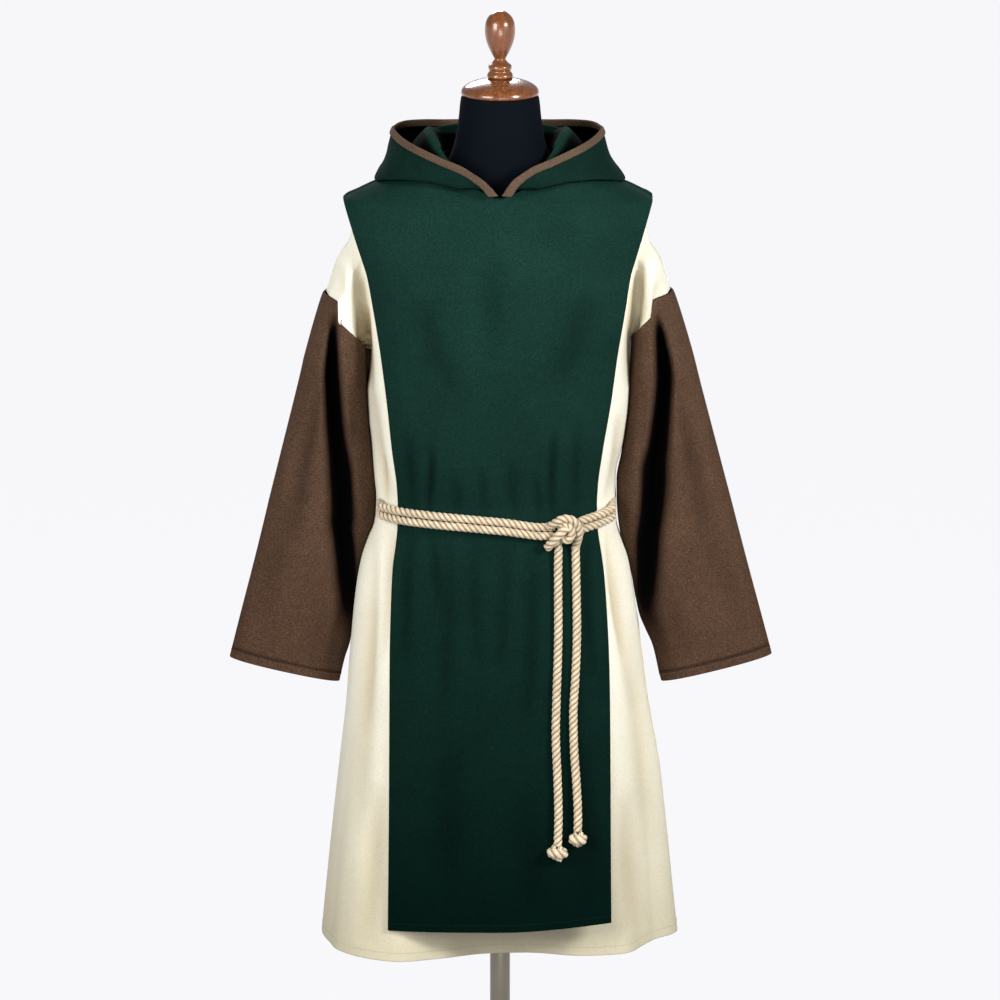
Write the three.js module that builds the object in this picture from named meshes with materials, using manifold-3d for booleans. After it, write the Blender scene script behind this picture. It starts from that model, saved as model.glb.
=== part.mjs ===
// A monk's habit on a limbless dress form: tunic, wide sleeves, hooded scapular and rope belt.
// Millimetres, +Z up, the garment's front faces -Y, +X is on the right seen from the front.
// The origin is the centre of the stand's underside, on the floor.
import * as THREE from "three";
import Module from "manifold-3d";
import { mergeVertices } from "three/addons/utils/BufferGeometryUtils.js";

const wasm = await Module();
wasm.setup();

// ---------------------------------------------------------------- driving dimensions
const CLOTH = 2.4; // thickness of the felted wool
const SEAM_GAP = 0.3; // between pieces at a seam
const FULLNESS = 2.3; // power of the superellipse of a body section, 2 is an ellipse
const HEM_FULLNESS = 3.0; // the same at the hem, where the section is squarer
const PANEL_COLUMNS = 24; // steps across half of the tunic
const RIDGE_COLUMNS = 7; // of those, the steps along one shoulder
const HEM_SIDE_RISE = 20; // the hem lies this much higher at the sides
const SCAPULAR_LIFT = 5.0; // scapular's outer face over the tunic's
const ROPE = 12; // diameter of the belt's rope
const ROPE_SIDES = 8;
const KNOT_ROPE = 14; // the rope swells where it is knotted
const TAIL_LIFT = 7.2; // a tail's centre over the scapular's face
const POLE_DIAMETER = 28;
const BASE_DIAMETER = 380;
const BASE_HEIGHT = 12;
const COLLAR_DIAMETER = 58;
const COLLAR_HEIGHT = 34;
const FORM_BOTTOM = 735;
const NECK_TOP = 1590;

// Body sections of the tunic. left and right are half-widths, front and back are depths,
// fold is the share of the hem's folds that reaches this height.
const TUNIC = [
  { z: 388, left: 252, right: 251, front: 178, back: 172, fold: 1.0 },
  { z: 450, left: 246, right: 244, front: 170, back: 165, fold: 0.9 },
  { z: 540, left: 237, right: 235, front: 160, back: 156, fold: 0.75 },
  { z: 640, left: 226, right: 224, front: 150, back: 147, fold: 0.56 },
  { z: 730, left: 216, right: 209, front: 141, back: 139, fold: 0.38 },
  { z: 810, left: 210, right: 199, front: 133, back: 131, fold: 0.22 },
  { z: 880, left: 203, right: 187, front: 125, back: 122, fold: 0.1 },
  { z: 935, left: 194, right: 179, front: 118, back: 114, fold: 0.03 },
  { z: 965, left: 184, right: 170, front: 113, back: 109, fold: 0 },
  { z: 990, left: 169, right: 154, front: 110, back: 105, fold: 0 },
  { z: 1022, left: 164, right: 149, front: 110, back: 104, fold: 0 },
  { z: 1048, left: 175, right: 161, front: 115, back: 108, fold: 0 },
  { z: 1100, left: 177, right: 171, front: 122, back: 116, fold: 0 },
  { z: 1170, left: 174, right: 179, front: 127, back: 122, fold: 0 },
  { z: 1231, left: 184, right: 182, front: 129, back: 126, fold: 0 },
  { z: 1300, left: 196, right: 194, front: 125, back: 124, fold: 0 },
  { z: 1360, left: 203, right: 201, front: 119, back: 121, fold: 0 },
  { z: 1400, left: 205, right: 203, front: 112, back: 116, fold: 0 },
  { z: 1440, left: 200, right: 199, front: 97, back: 107, fold: 0 },
  { z: 1460, left: 178, right: 178, front: 87, back: 99, fold: 0 },
  { z: 1478, left: 130, right: 130, front: 80, back: 90, fold: 0 },
  { z: 1489, left: 100, right: 100, front: 76, back: 83, fold: 0 },
  { z: 1500, left: 73, right: 73, front: 72, back: 76, fold: 0 },
];
const SKIRT_ROWS = 14; // of those sections, the ones below the underarm

// The hem's folds round the body: angle 0 is the left side, 90 the front, 180 the right side.
// depth is how far the cloth falls in from the fullest line.
const FOLDS = [
  { angle: 0, depth: 0 },
  { angle: 18, depth: 8 },
  { angle: 34, depth: 2 },
  { angle: 62, depth: 0 },
  { angle: 78, depth: 38 },
  { angle: 93, depth: 80 },
  { angle: 108, depth: 50 },
  { angle: 121, depth: 36 },
  { angle: 138, depth: 52 },
  { angle: 158, depth: 30 },
  { angle: 180, depth: 0 },
  { angle: 203, depth: 36 },
  { angle: 226, depth: 6 },
  { angle: 250, depth: 62 },
  { angle: 276, depth: 14 },
  { angle: 300, depth: 54 },
  { angle: 324, depth: 6 },
  { angle: 343, depth: 22 },
  { angle: 360, depth: 0 },
];

// The stepped seam between tunic and sleeve, from the underarm to the top of the arm. rise runs
// from 0 to 1, x and z are given for each side, y is its distance from the side seam, and out is
// the way the cloth faces there (x for the left arm, y for the front).
const SEAM = [
  { rise: 0, y: 0, left: { x: 184, z: 1231 }, right: { x: 183, z: 1250 }, out: [-0.15, 0, -1] },
  { rise: 0.08, y: 34, left: { x: 189, z: 1242 }, right: { x: 187, z: 1259 }, out: [0.1, 0.75, -0.65] },
  { rise: 0.2, y: 58, left: { x: 203, z: 1260 }, right: { x: 196, z: 1272 }, out: [0.1, 0.97, -0.22] },
  { rise: 0.38, y: 64, left: { x: 222, z: 1279 }, right: { x: 210, z: 1287 }, out: [0, 1, 0] },
  { rise: 0.62, y: 60, left: { x: 224, z: 1309 }, right: { x: 213, z: 1311 }, out: [-0.25, 0.95, 0.15] },
  { rise: 0.85, y: 32, left: { x: 238, z: 1312 }, right: { x: 233, z: 1315 }, out: [-0.75, 0.6, 0.3] },
  { rise: 1, y: 0, left: { x: 243, z: 1313 }, right: { x: 238, z: 1316 }, out: [-0.88, 0, 0.47] },
];
const UPPER_ROWS = [0.08, 0.2, 0.29, 0.38, 0.5, 0.62, 0.735, 0.85, 1]; // rise of each row

// The line over the arm and the shoulder, from the sleeve to the neck. at is the column.
const SHOULDER = [
  { at: 0, left: 243, right: 238, z: 1313 },
  { at: 1, left: 226, right: 222, z: 1362 },
  { at: 2, left: 209, right: 207, z: 1390 },
  { at: 3, left: 200, right: 199, z: 1440 },
  { at: 4, left: 178, right: 178, z: 1460 },
  { at: 5, left: 130, right: 130, z: 1478 },
  { at: 6, left: 100, right: 100, z: 1489 },
  { at: 7, left: 73, right: 73, z: 1500 },
];
const NECK_DROP = { front: 46, back: 12 }; // the neckline's middle below the neck point

// The cloth over the upper arm: height, outer edge and how deep it stands.
const ARM = [
  { z: 1230, edge: 243, depth: 64 },
  { z: 1313, edge: 243, depth: 64 },
  { z: 1362, edge: 226, depth: 52 },
  { z: 1390, edge: 209, depth: 34 },
  { z: 1440, edge: 200, depth: 0 },
];
const ARM_HALF = 26; // from the arm's outer edge to its fullest line
const ARM_FALL = 30; // from there to the crease at the body
const ARM_ROUNDING = 8; // radius of that crease
const SEAM_PULL = 0.13; // share of the panel's width that is drawn over to the sleeve's seam

// Sleeves: share is the way down, outer and inner are the edges' x, depth is half of the tube.
const SLEEVES = {
  left: { side: -1, top: { x: 250.6, z: 1309 }, cuff: { x: 379, z: 792.6 }, innerTop: 1231 },
  right: { side: 1, top: { x: 246.4, z: 1310 }, cuff: { x: 381, z: 797 }, innerTop: 1250 },
};
const SLEEVE_CUFF_INNER = 758;
const SLEEVE_INNER_EDGE = [
  { z: 1250, left: 186, right: 185.5 },
  { z: 1231, left: 186, right: 185.5 },
  { z: 1180, left: 181, right: 184 },
  { z: 1140, left: 179.5, right: 181.5 },
  { z: 1100, left: 181, right: 175 },
  { z: 1050, left: 180.5, right: 167.5 },
  { z: 1005, left: 182.5, right: 167 },
  { z: 975, left: 188, right: 172 },
  { z: 935, left: 198, right: 183.5 },
  { z: 860, left: 210, right: 194.5 },
  { z: 790, left: 220.5, right: 213 },
  { z: 758, left: 226, right: 226 },
];
const SLEEVE_ROWS = [
  { share: 0, depth: 62, groove: 0.33, cut: 0 },
  { share: 0.035, depth: 60, groove: 0.34, cut: 0.15 },
  { share: 0.09, depth: 56, groove: 0.35, cut: 0.45 },
  { share: 0.17, depth: 52, groove: 0.39, cut: 0.6 },
  { share: 0.27, depth: 48, groove: 0.44, cut: 0.66 },
  { share: 0.38, depth: 45, groove: 0.5, cut: 0.66 },
  { share: 0.5, depth: 42, groove: 0.57, cut: 0.64 },
  { share: 0.62, depth: 39, groove: 0.65, cut: 0.6 },
  { share: 0.74, depth: 36, groove: 0.76, cut: 0.5 },
  { share: 0.86, depth: 33, groove: 0.88, cut: 0.32 },
  { share: 0.94, depth: 31, groove: 0.96, cut: 0.15 },
  { share: 1, depth: 30, groove: 1, cut: 0 },
];
const SLEEVE_COLUMNS = 24;
const GROOVE_WIDTH = 0.1; // of the sleeve's width
const BACK_GROOVE_SHIFT = 0.16; // the back's groove lies nearer the outer edge

// Edges of the scapular from hem to shoulder.
const SCAPULAR = [
  { z: 437, left: 156.8, right: 155.7 },
  { z: 540, left: 155.8, right: 155 },
  { z: 640, left: 155, right: 154.5 },
  { z: 730, left: 154.6, right: 154 },
  { z: 810, left: 154.2, right: 152.5 },
  { z: 880, left: 152.6, right: 149 },
  { z: 935, left: 150, right: 144.5 },
  { z: 965, left: 146, right: 140 },
  { z: 990, left: 143.4, right: 136.5 },
  { z: 1022, left: 142.8, right: 135.4 },
  { z: 1048, left: 144, right: 136.5 },
  { z: 1100, left: 150.6, right: 143.2 },
  { z: 1170, left: 158, right: 155 },
  { z: 1231, left: 166, right: 163.5 },
  { z: 1300, left: 177, right: 175 },
  { z: 1350, left: 186.5, right: 183 },
  { z: 1400, left: 203, right: 199 },
  { z: 1424, left: 210, right: 206 },
  { z: 1436, left: 217, right: 211 },
];
// Half-width of the section that the scapular follows over the arms, above the underarm.
const DRAPE = [
  { z: 1231, half: 189 },
  { z: 1300, half: 204 },
  { z: 1350, half: 213 },
  { z: 1400, half: 223 },
  { z: 1424, half: 222 },
  { z: 1436, half: 217 },
  { z: 1449, half: 200 },
  { z: 1465, half: 178 },
  { z: 1483, half: 130 },
  { z: 1506, half: 80 },
];
const SCAPULAR_FLAT_ROWS = 16; // rows up to 1350, above them the panel rises to the shoulder
const SCAPULAR_RISES = [0.3, 0.55, 0.76, 0.9, 1];
const SCAPULAR_COLUMNS = 14;
const SCAPULAR_SHOULDER = [
  { at: 0, left: 217, right: 211, z: 1436 },
  { at: 1, left: 200, right: 199, z: 1449 },
  { at: 2, left: 178, right: 178, z: 1465 },
  { at: 3, left: 130, right: 130, z: 1483 },
  { at: 4, left: 80, right: 80, z: 1506 },
];

// Lines of the thrown-back hood round the neck. half is its half-width, where it is widest at
// y = middle; the z columns are its height at the front, side and back. sharp shapes its rise
// from the front, swell lifts it between front and side, and drop shapes its fall to the back.
const HOOD_LINES = [
  {
    line: "ridge", half: 106, middle: 42, front: -95, back: 101,
    zFront: 1463, zSide: 1525, zBack: 1532, sharp: 0.7, swell: 0, drop: 1,
  },
  {
    line: "bag bottom", half: 142, middle: 20, front: -98, back: 168,
    zFront: 1465, zSide: 1489, zBack: 1272, sharp: 1, swell: 0, drop: 1.3,
  },
  {
    line: "outer edge", half: 178, middle: 25, front: -101, back: 206,
    zFront: 1467, zSide: 1473, zBack: 1380, sharp: 1, swell: 12, drop: 1.3,
  },
  {
    line: "face edge", half: 150, middle: 75, front: -104, back: 142,
    zFront: 1469, zSide: 1523, zBack: 1531, sharp: 1.5, swell: 0, drop: 1,
  },
];
const HOOD_STEPS = 14; // stations from the front to the centre back, for one half
const HOOD_START = 7; // degrees from the front at which a half begins
const HOOD_STRIP = 34; // up to here the hood is a plain strip opening out, degrees
const HOOD_SPLIT = 2; // steps between neighbouring lines
const HOOD_SEAT = 1.3; // the hood's seam stands this far on the scapular's neckline
const HOOD_CLEAR = 7; // from the scapular's face to the hood that lies on it
const BINDING = { width: 10.6, proud: 1.5, crown: 1.2, gap: 0.8 };

// Sections of the dress form, round and smooth.
const FORM = [
  { z: 735, half: 150, depth: 96 },
  { z: 752, half: 168, depth: 110 },
  { z: 850, half: 168, depth: 110 },
  { z: 930, half: 154, depth: 103 },
  { z: 1005, half: 138, depth: 92 },
  { z: 1100, half: 151, depth: 106 },
  { z: 1230, half: 167, depth: 118 },
  { z: 1330, half: 184, depth: 113 },
  { z: 1400, half: 193, depth: 99 },
  { z: 1428, half: 187, depth: 87 },
  { z: 1446, half: 164, depth: 76 },
  { z: 1463, half: 119, depth: 68 },
  { z: 1476, half: 88, depth: 63 },
  { z: 1494, half: 64, depth: 60 },
  { z: 1525, half: 57, depth: 57 },
  { z: 1590, half: 53, depth: 53 },
];
const FORM_SIDES = 24;

// The belt's height round the waist, with the angles of FOLDS.
const BELT = [
  { angle: 0, z: 1009 },
  { angle: 45, z: 1007 },
  { angle: 90, z: 1002 },
  { angle: 103, z: 995 },
  { angle: 118, z: 992 },
  { angle: 131, z: 999 },
  { angle: 150, z: 1003 },
  { angle: 180, z: 1006 },
  { angle: 270, z: 1008 },
  { angle: 360, z: 1009 },
];
const BELT_STEPS = 38;
const BELT_CLEAR = 1; // between the rope and the cloth it is drawn round
const BELT_RISE = 6.2; // a turn's centre above or below the belt's middle
const BELT_LEAN = 4; // the lower turn lies this much further out at front and back
const BELT_SPREAD = 3.5; // the turns' curve is this much wider where they cross the scapular
const KNOT = { x: 90, z: 993, out: 6.2 }; // out is how far it stands before the tails

// Routes of the hanging tails: height and sideways place, hung over the scapular.
const TAILS = {
  left: [
    { z: 966, x: 81.5 },
    { z: 940, x: 81 },
    { z: 842, x: 81.2 },
    { z: 752, x: 78.6 },
    { z: 709, x: 77.8 },
    { z: 646, x: 80.4 },
    { z: 600, x: 81.6 },
    { z: 555.5, x: 80.7 },
  ],
  right: [
    { z: 970, x: 105.4 },
    { z: 940, x: 106 },
    { z: 842, x: 107.2 },
    { z: 790, x: 105.2 },
    { z: 742, x: 102.4 },
    { z: 688, x: 103.4 },
    { z: 646, x: 106.4 },
    { z: 600, x: 108.8 },
    { z: 575, x: 108.5 },
  ],
};
const TAIL_STEPS = 20;
const END_KNOTS = {
  left: { x: 79.6, z: 544, halfWidth: 16, halfHeight: 15.2, halfDepth: 13 },
  right: { x: 108.6, z: 563.5, halfWidth: 14, halfHeight: 15.2, halfDepth: 12.5 },
};

// ---------------------------------------------------------------- small helpers
const mix = (a, b, t) => a + (b - a) * t;
const clamp = (value, low, high) => Math.min(high, Math.max(low, value));
const radians = (degrees) => (degrees * Math.PI) / 180;
const point = (x, y, z) => new THREE.Vector3(x, y, z);

// Reads a column of a table at a value of its key, straight between the rows.
function lookup(table, key, at, column) {
  let k = 1;
  while (k < table.length - 1 && table[k][key] < at) k += 1;
  const low = table[k - 1];
  const high = table[k];
  const t = clamp((at - low[key]) / (high[key] - low[key]), 0, 1);
  return mix(low[column], high[column], t);
}

// The same, eased through each row so that a fold has round crests and valleys.
function eased(table, key, at, column) {
  let k = 1;
  while (k < table.length - 1 && table[k][key] < at) k += 1;
  const low = table[k - 1];
  const high = table[k];
  const t = clamp((at - low[key]) / (high[key] - low[key]), 0, 1);
  return mix(low[column], high[column], (1 - Math.cos(Math.PI * t)) / 2);
}

const sideOf = (x) => (x < 0 ? "left" : "right");
const fullnessAt = (z) => mix(HEM_FULLNESS, FULLNESS, clamp((z - 388) / 560, 0, 1));

// The larger of two depths, rounded where they cross.
function roundedMax(a, b, radius) {
  const close = Math.max(radius - Math.abs(a - b), 0) / radius;
  return Math.max(a, b) + (close * close * radius) / 4;
}

// ---------------------------------------------------------------- cloth as a wall
// Which way the cloth faces at each point of a grid, from its neighbours.
function facings(rows, closed, side) {
  const last = rows[0].length - 1;
  return rows.map((row, j) =>
    row.map((_, i) => {
      const before = closed ? (i + last) % (last + 1) : Math.max(i - 1, 0);
      const after = closed ? (i + 1) % (last + 1) : Math.min(i + 1, last);
      const along = row[after].clone().sub(row[before]);
      const up = rows[Math.min(j + 1, rows.length - 1)][i].clone().sub(rows[Math.max(j - 1, 0)][i]);
      return along.cross(up).normalize().multiplyScalar(side);
    }),
  );
}

// A closed wall behind a grid of points on the cloth's outer face. closed joins the last column
// to the first, side is 1 or -1 for the grid's outer face, and face may set a facing itself.
function clothWall(rows, { closed = false, side = 1, face = () => null } = {}) {
  const free = facings(rows, closed, side);
  const facing = free.map((row, j) => row.map((own, i) => face(j, i, own) ?? own));
  const across = rows[0].length;
  const inner = rows.map((row, j) => row.map((p, i) => p.clone().addScaledVector(facing[j][i], -CLOTH)));
  const points = [...rows.flat(), ...inner.flat()];
  const under = rows.length * across;
  const triangles = [];
  const quad = (a, b, c, d) => {
    const corners = side > 0 ? [a, b, c, a, c, d] : [a, c, b, a, d, c];
    triangles.push(...corners);
  };
  const steps = closed ? across : across - 1;
  for (let j = 0; j < rows.length - 1; j += 1) {
    for (let i = 0; i < steps; i += 1) {
      const a = j * across + i;
      const b = j * across + ((i + 1) % across);
      quad(a, b, b + across, a + across);
      quad(under + a, under + a + across, under + b + across, under + b);
    }
    if (!closed) {
      const left = j * across;
      const right = left + across - 1;
      quad(left, left + across, under + left + across, under + left);
      quad(right + across, right, under + right, under + right + across);
    }
  }
  const top = (rows.length - 1) * across;
  for (let i = 0; i < steps; i += 1) {
    const next = (i + 1) % across;
    quad(next, i, under + i, under + next);
    quad(top + i, top + next, under + top + next, under + top + i);
  }
  return solid(points, triangles);
}

function solid(points, triangles) {
  const geometry = new THREE.BufferGeometry();
  const flat = points.flatMap((p) => [p.x, p.y, p.z]);
  geometry.setAttribute("position", new THREE.Float32BufferAttribute(flat, 3));
  geometry.setIndex(triangles);
  return geometry;
}

// The facing of a seam that lies in the plane y = 0, square to its run from a to b.
function seamFacing(a, b, side) {
  const run = b.clone().sub(a);
  return point(-run.z * side, 0, run.x * side).normalize();
}

// ---------------------------------------------------------------- tunic
function bodyDepth(x, z, half) {
  const reach = lookup(TUNIC, "z", z, sideOf(x));
  const power = fullnessAt(z);
  const share = clamp(Math.abs(x) / reach, 0, 1);
  return lookup(TUNIC, "z", z, half) * (1 - share ** power) ** (1 / power);
}

function armDepth(x, z) {
  const middle = lookup(ARM, "z", z, "edge") - ARM_HALF;
  const off = Math.abs(x) - middle;
  const share = off > 0 ? off / ARM_HALF : off / ARM_FALL;
  const form = off > 0 ? Math.sqrt(Math.max(1 - share * share, 0)) : Math.max(1 - share * share, 0);
  return lookup(ARM, "z", z, "depth") * form;
}

// A point of the skirt: angle runs from the left side over the front or the back to the right.
function skirtPoint(z, angle, half) {
  const turn = radians(angle);
  const power = fullnessAt(z);
  const across = -Math.cos(turn);
  const reach = lookup(TUNIC, "z", z, across < 0 ? "left" : "right");
  const depth = lookup(TUNIC, "z", z, half);
  const x = reach * Math.sign(across) * Math.abs(across) ** (2 / power);
  const y = depth * Math.abs(Math.sin(turn)) ** (2 / power);
  const place = half === "front" ? angle : 360 - angle;
  const fold = eased(FOLDS, "angle", place, "depth") * lookup(TUNIC, "z", z, "fold");
  const inward = new THREE.Vector2(across / reach, Math.sin(turn) / depth).normalize().multiplyScalar(fold);
  return point(x - inward.x, (half === "front" ? -1 : 1) * (y - inward.y), z);
}

function skirtRow(z, half) {
  const row = [];
  for (let i = 0; i <= PANEL_COLUMNS; i += 1) {
    const angle = (180 * i) / PANEL_COLUMNS;
    const lift = HEM_SIDE_RISE * Math.abs(Math.cos(radians(angle))) ** 3 * clamp((540 - z) / 152, 0, 1);
    row.push(skirtPoint(z + lift, angle, half));
  }
  return row;
}

const seamPoint = (rise, side) => {
  const k = Math.max(SEAM.findIndex((row) => row.rise >= rise - 1e-6), 1);
  const [low, high] = [SEAM[k - 1], SEAM[k]];
  const t = (rise - low.rise) / (high.rise - low.rise);
  return {
    x: mix(low[side].x, high[side].x, t),
    y: mix(low.y, high.y, t),
    z: mix(low[side].z, high[side].z, t),
    out: low.out.map((value, axis) => mix(value, high.out[axis], t)),
  };
};

// The top line of a tunic panel at a column: arm, shoulder, neckline, shoulder, arm.
function topPoint(i, half) {
  const sign = i < PANEL_COLUMNS / 2 ? -1 : 1;
  const at = Math.min(i, PANEL_COLUMNS - i);
  const name = sideOf(sign);
  if (at <= RIDGE_COLUMNS) {
    return { x: sign * lookup(SHOULDER, "at", at, name), z: lookup(SHOULDER, "at", at, "z") };
  }
  const turn = ((at - RIDGE_COLUMNS) / (PANEL_COLUMNS / 2 - RIDGE_COLUMNS)) * (Math.PI / 2);
  const neck = SHOULDER[RIDGE_COLUMNS];
  return { x: sign * neck[name] * Math.cos(turn), z: neck.z - NECK_DROP[half] * (1 - Math.cos(turn) ** 1.5) };
}

function upperRow(rise, half) {
  const forward = half === "front" ? -1 : 1;
  const row = [];
  for (let i = 0; i <= PANEL_COLUMNS; i += 1) {
    const u = i / PANEL_COLUMNS;
    const chestHeight = mix(SEAM[0].left.z, SEAM[0].right.z, u);
    const chest = skirtPoint(chestHeight, 180 * u, half);
    const top = topPoint(i, half);
    const p = point(mix(chest.x, top.x, rise), 0, mix(chestHeight, top.z, rise));
    const name = i < PANEL_COLUMNS / 2 ? "left" : "right";
    const sign = name === "left" ? -1 : 1;
    const edge = name === "left" ? 0 : 1;
    const seam = seamPoint(rise, name);
    const start = skirtPoint(SEAM[0][name].z, 180 * edge, half);
    const end = topPoint(edge * PANEL_COLUMNS, half);
    const near = clamp(1 - Math.min(u, 1 - u) / SEAM_PULL, 0, 1) ** 2;
    p.x += near * (sign * seam.x - mix(start.x, end.x, rise));
    p.z += near * (seam.z - mix(SEAM[0][name].z, end.z, rise));
    const body = bodyDepth(p.x, p.z, half);
    const step = Math.min(i, PANEL_COLUMNS - i);
    let depth = rise === 1 ? body : roundedMax(body, armDepth(p.x, p.z), ARM_ROUNDING);
    if (step === 0) depth = seam.y;
    if (rise === 1 && step <= RIDGE_COLUMNS) depth = 0;
    p.y = forward * depth;
    row.push(p);
  }
  return row;
}

function tunicPanel(half) {
  const forward = half === "front" ? -1 : 1;
  const rows = TUNIC.slice(0, SKIRT_ROWS).map((row) => skirtRow(row.z, half));
  const chest = [];
  for (let i = 0; i <= PANEL_COLUMNS; i += 1) {
    const u = i / PANEL_COLUMNS;
    chest.push(skirtPoint(mix(SEAM[0].left.z, SEAM[0].right.z, u), 180 * u, half));
  }
  chest[0].x = -SEAM[0].left.x;
  chest[PANEL_COLUMNS].x = SEAM[0].right.x;
  rows.push(chest);
  UPPER_ROWS.forEach((rise) => rows.push(upperRow(rise, half)));
  const last = rows.length - 1;
  rows.forEach((row, j) => {
    const open = j > SKIRT_ROWS && j < last ? 0 : (forward * SEAM_GAP) / 2;
    row[0].y += open;
    row[PANEL_COLUMNS].y += open;
  });
  for (let i = 1; i <= RIDGE_COLUMNS; i += 1) {
    rows[last][i].y = (forward * SEAM_GAP) / 2;
    rows[last][PANEL_COLUMNS - i].y = (forward * SEAM_GAP) / 2;
  }
  const face = (j, i) => {
    const edge = i === 0 || i === PANEL_COLUMNS;
    const name = i < PANEL_COLUMNS / 2 ? "left" : "right";
    const sign = name === "left" ? 1 : -1;
    if (edge && j >= SKIRT_ROWS) {
      const { out } = seamPoint(j === SKIRT_ROWS ? 0 : UPPER_ROWS[j - SKIRT_ROWS - 1], name);
      return point(out[0] * sign, out[1] * forward, out[2]).normalize();
    }
    if (edge) return seamFacing(rows[Math.max(j - 1, 0)][i], rows[j + 1][i], sign);
    const onRidge = j === last && Math.min(i, PANEL_COLUMNS - i) <= RIDGE_COLUMNS;
    return onRidge ? seamFacing(rows[j][i - 1], rows[j][i + 1], 1) : null;
  };
  return clothWall(rows, { side: -forward, face });
}

// ---------------------------------------------------------------- sleeves
function sleeveRow({ share, depth, groove, cut }, name) {
  const { side, top, cuff, innerTop } = SLEEVES[name];
  const outer = new THREE.Vector2(mix(top.x, cuff.x, share), mix(top.z, cuff.z, share));
  const innerZ = mix(innerTop, SLEEVE_CUFF_INNER, share);
  const inner = new THREE.Vector2(innerEdge(innerZ, name), innerZ);
  const seamShare = clamp(1 - share / 0.15, 0, 1) ** 2;
  const row = [];
  for (let i = 0; i < SLEEVE_COLUMNS; i += 1) {
    const turn = (2 * Math.PI * i) / SLEEVE_COLUMNS;
    const front = i <= SLEEVE_COLUMNS / 2;
    const c = Math.cos(turn);
    const s = Math.sin(turn);
    const across = (1 - Math.sign(c) * Math.abs(c) ** (2 / FULLNESS)) / 2;
    const place = front ? groove : groove - BACK_GROOVE_SHIFT * (1 - share);
    const hollow = cut * Math.exp(-(((across - place) / GROOVE_WIDTH) ** 2));
    const reach = depth * Math.abs(s) ** (2 / FULLNESS) * (1 - hollow);
    const free = point(mix(outer.x, inner.x, across), front ? -reach : reach, mix(outer.y, inner.y, across));
    const step = front ? i : SLEEVE_COLUMNS - i;
    const seam = seamLoopPoint(step, front ? -1 : 1, name);
    free.lerp(seam, seamShare);
    row.push(point(side * free.x, free.y, free.z));
  }
  return row;
}

// The inner edge's x at a height; its table runs down.
function innerEdge(z, name) {
  const k = Math.max(SLEEVE_INNER_EDGE.findIndex((row) => row.z <= z), 1);
  const [high, low] = [SLEEVE_INNER_EDGE[k - 1], SLEEVE_INNER_EDGE[k]];
  return mix(low[name], high[name], clamp((z - low.z) / (high.z - low.z), 0, 1));
}

// The seam loop, by steps from the top of the arm to the underarm, two between table rows.
function seamRise(step) {
  const place = (SEAM.length - 1) * (1 - step / (SLEEVE_COLUMNS / 2));
  const low = Math.min(Math.floor(place), SEAM.length - 2);
  return mix(SEAM[low].rise, SEAM[low + 1].rise, place - low);
}

const SLEEVE_OFFSET = 0.4; // the sleeve's edge lies this far out and down from the tunic's

function seamLoopPoint(step, forward, name) {
  const seam = seamPoint(seamRise(step), name);
  return point(seam.x + SLEEVE_OFFSET, forward * seam.y, seam.z - SLEEVE_OFFSET);
}

function sleeve(name) {
  const { side } = SLEEVES[name];
  const rows = SLEEVE_ROWS.map((row) => sleeveRow(row, name));
  const face = (j, i) => {
    if (j > 0) return null;
    const front = i <= SLEEVE_COLUMNS / 2;
    const { out } = seamPoint(seamRise(front ? i : SLEEVE_COLUMNS - i), name);
    return point(out[0] * -side, out[1] * (front ? -1 : 1), out[2]).normalize();
  };
  return clothWall(rows, { closed: true, side, face });
}

// ---------------------------------------------------------------- scapular
const scapularReach = (x, z) =>
  z < DRAPE[0].z ? lookup(TUNIC, "z", z, sideOf(x)) + SCAPULAR_LIFT + 0.4 : lookup(DRAPE, "z", z, "half");

function scapularDepth(x, z, half, spare = 0) {
  const reach = scapularReach(x, z) + spare;
  const power = fullnessAt(z);
  const share = clamp(Math.abs(x) / reach, 0, 1);
  return (lookup(TUNIC, "z", z, half) + SCAPULAR_LIFT) * (1 - share ** power) ** (1 / power);
}

function scapularTop(i, half) {
  const middle = SCAPULAR_COLUMNS / 2;
  const sign = i < middle ? -1 : 1;
  const at = Math.min(i, SCAPULAR_COLUMNS - i);
  const name = sideOf(sign);
  const ridge = SCAPULAR_SHOULDER.length - 1;
  if (at <= ridge) {
    const z = lookup(SCAPULAR_SHOULDER, "at", at, "z");
    return { x: sign * lookup(SCAPULAR_SHOULDER, "at", at, name), z };
  }
  const turn = ((at - ridge) / (middle - ridge)) * (Math.PI / 2);
  const neck = SCAPULAR_SHOULDER[ridge];
  return { x: sign * neck[name] * Math.cos(turn), z: neck.z - NECK_DROP[half] * (1 - Math.cos(turn) ** 1.5) };
}

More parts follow.
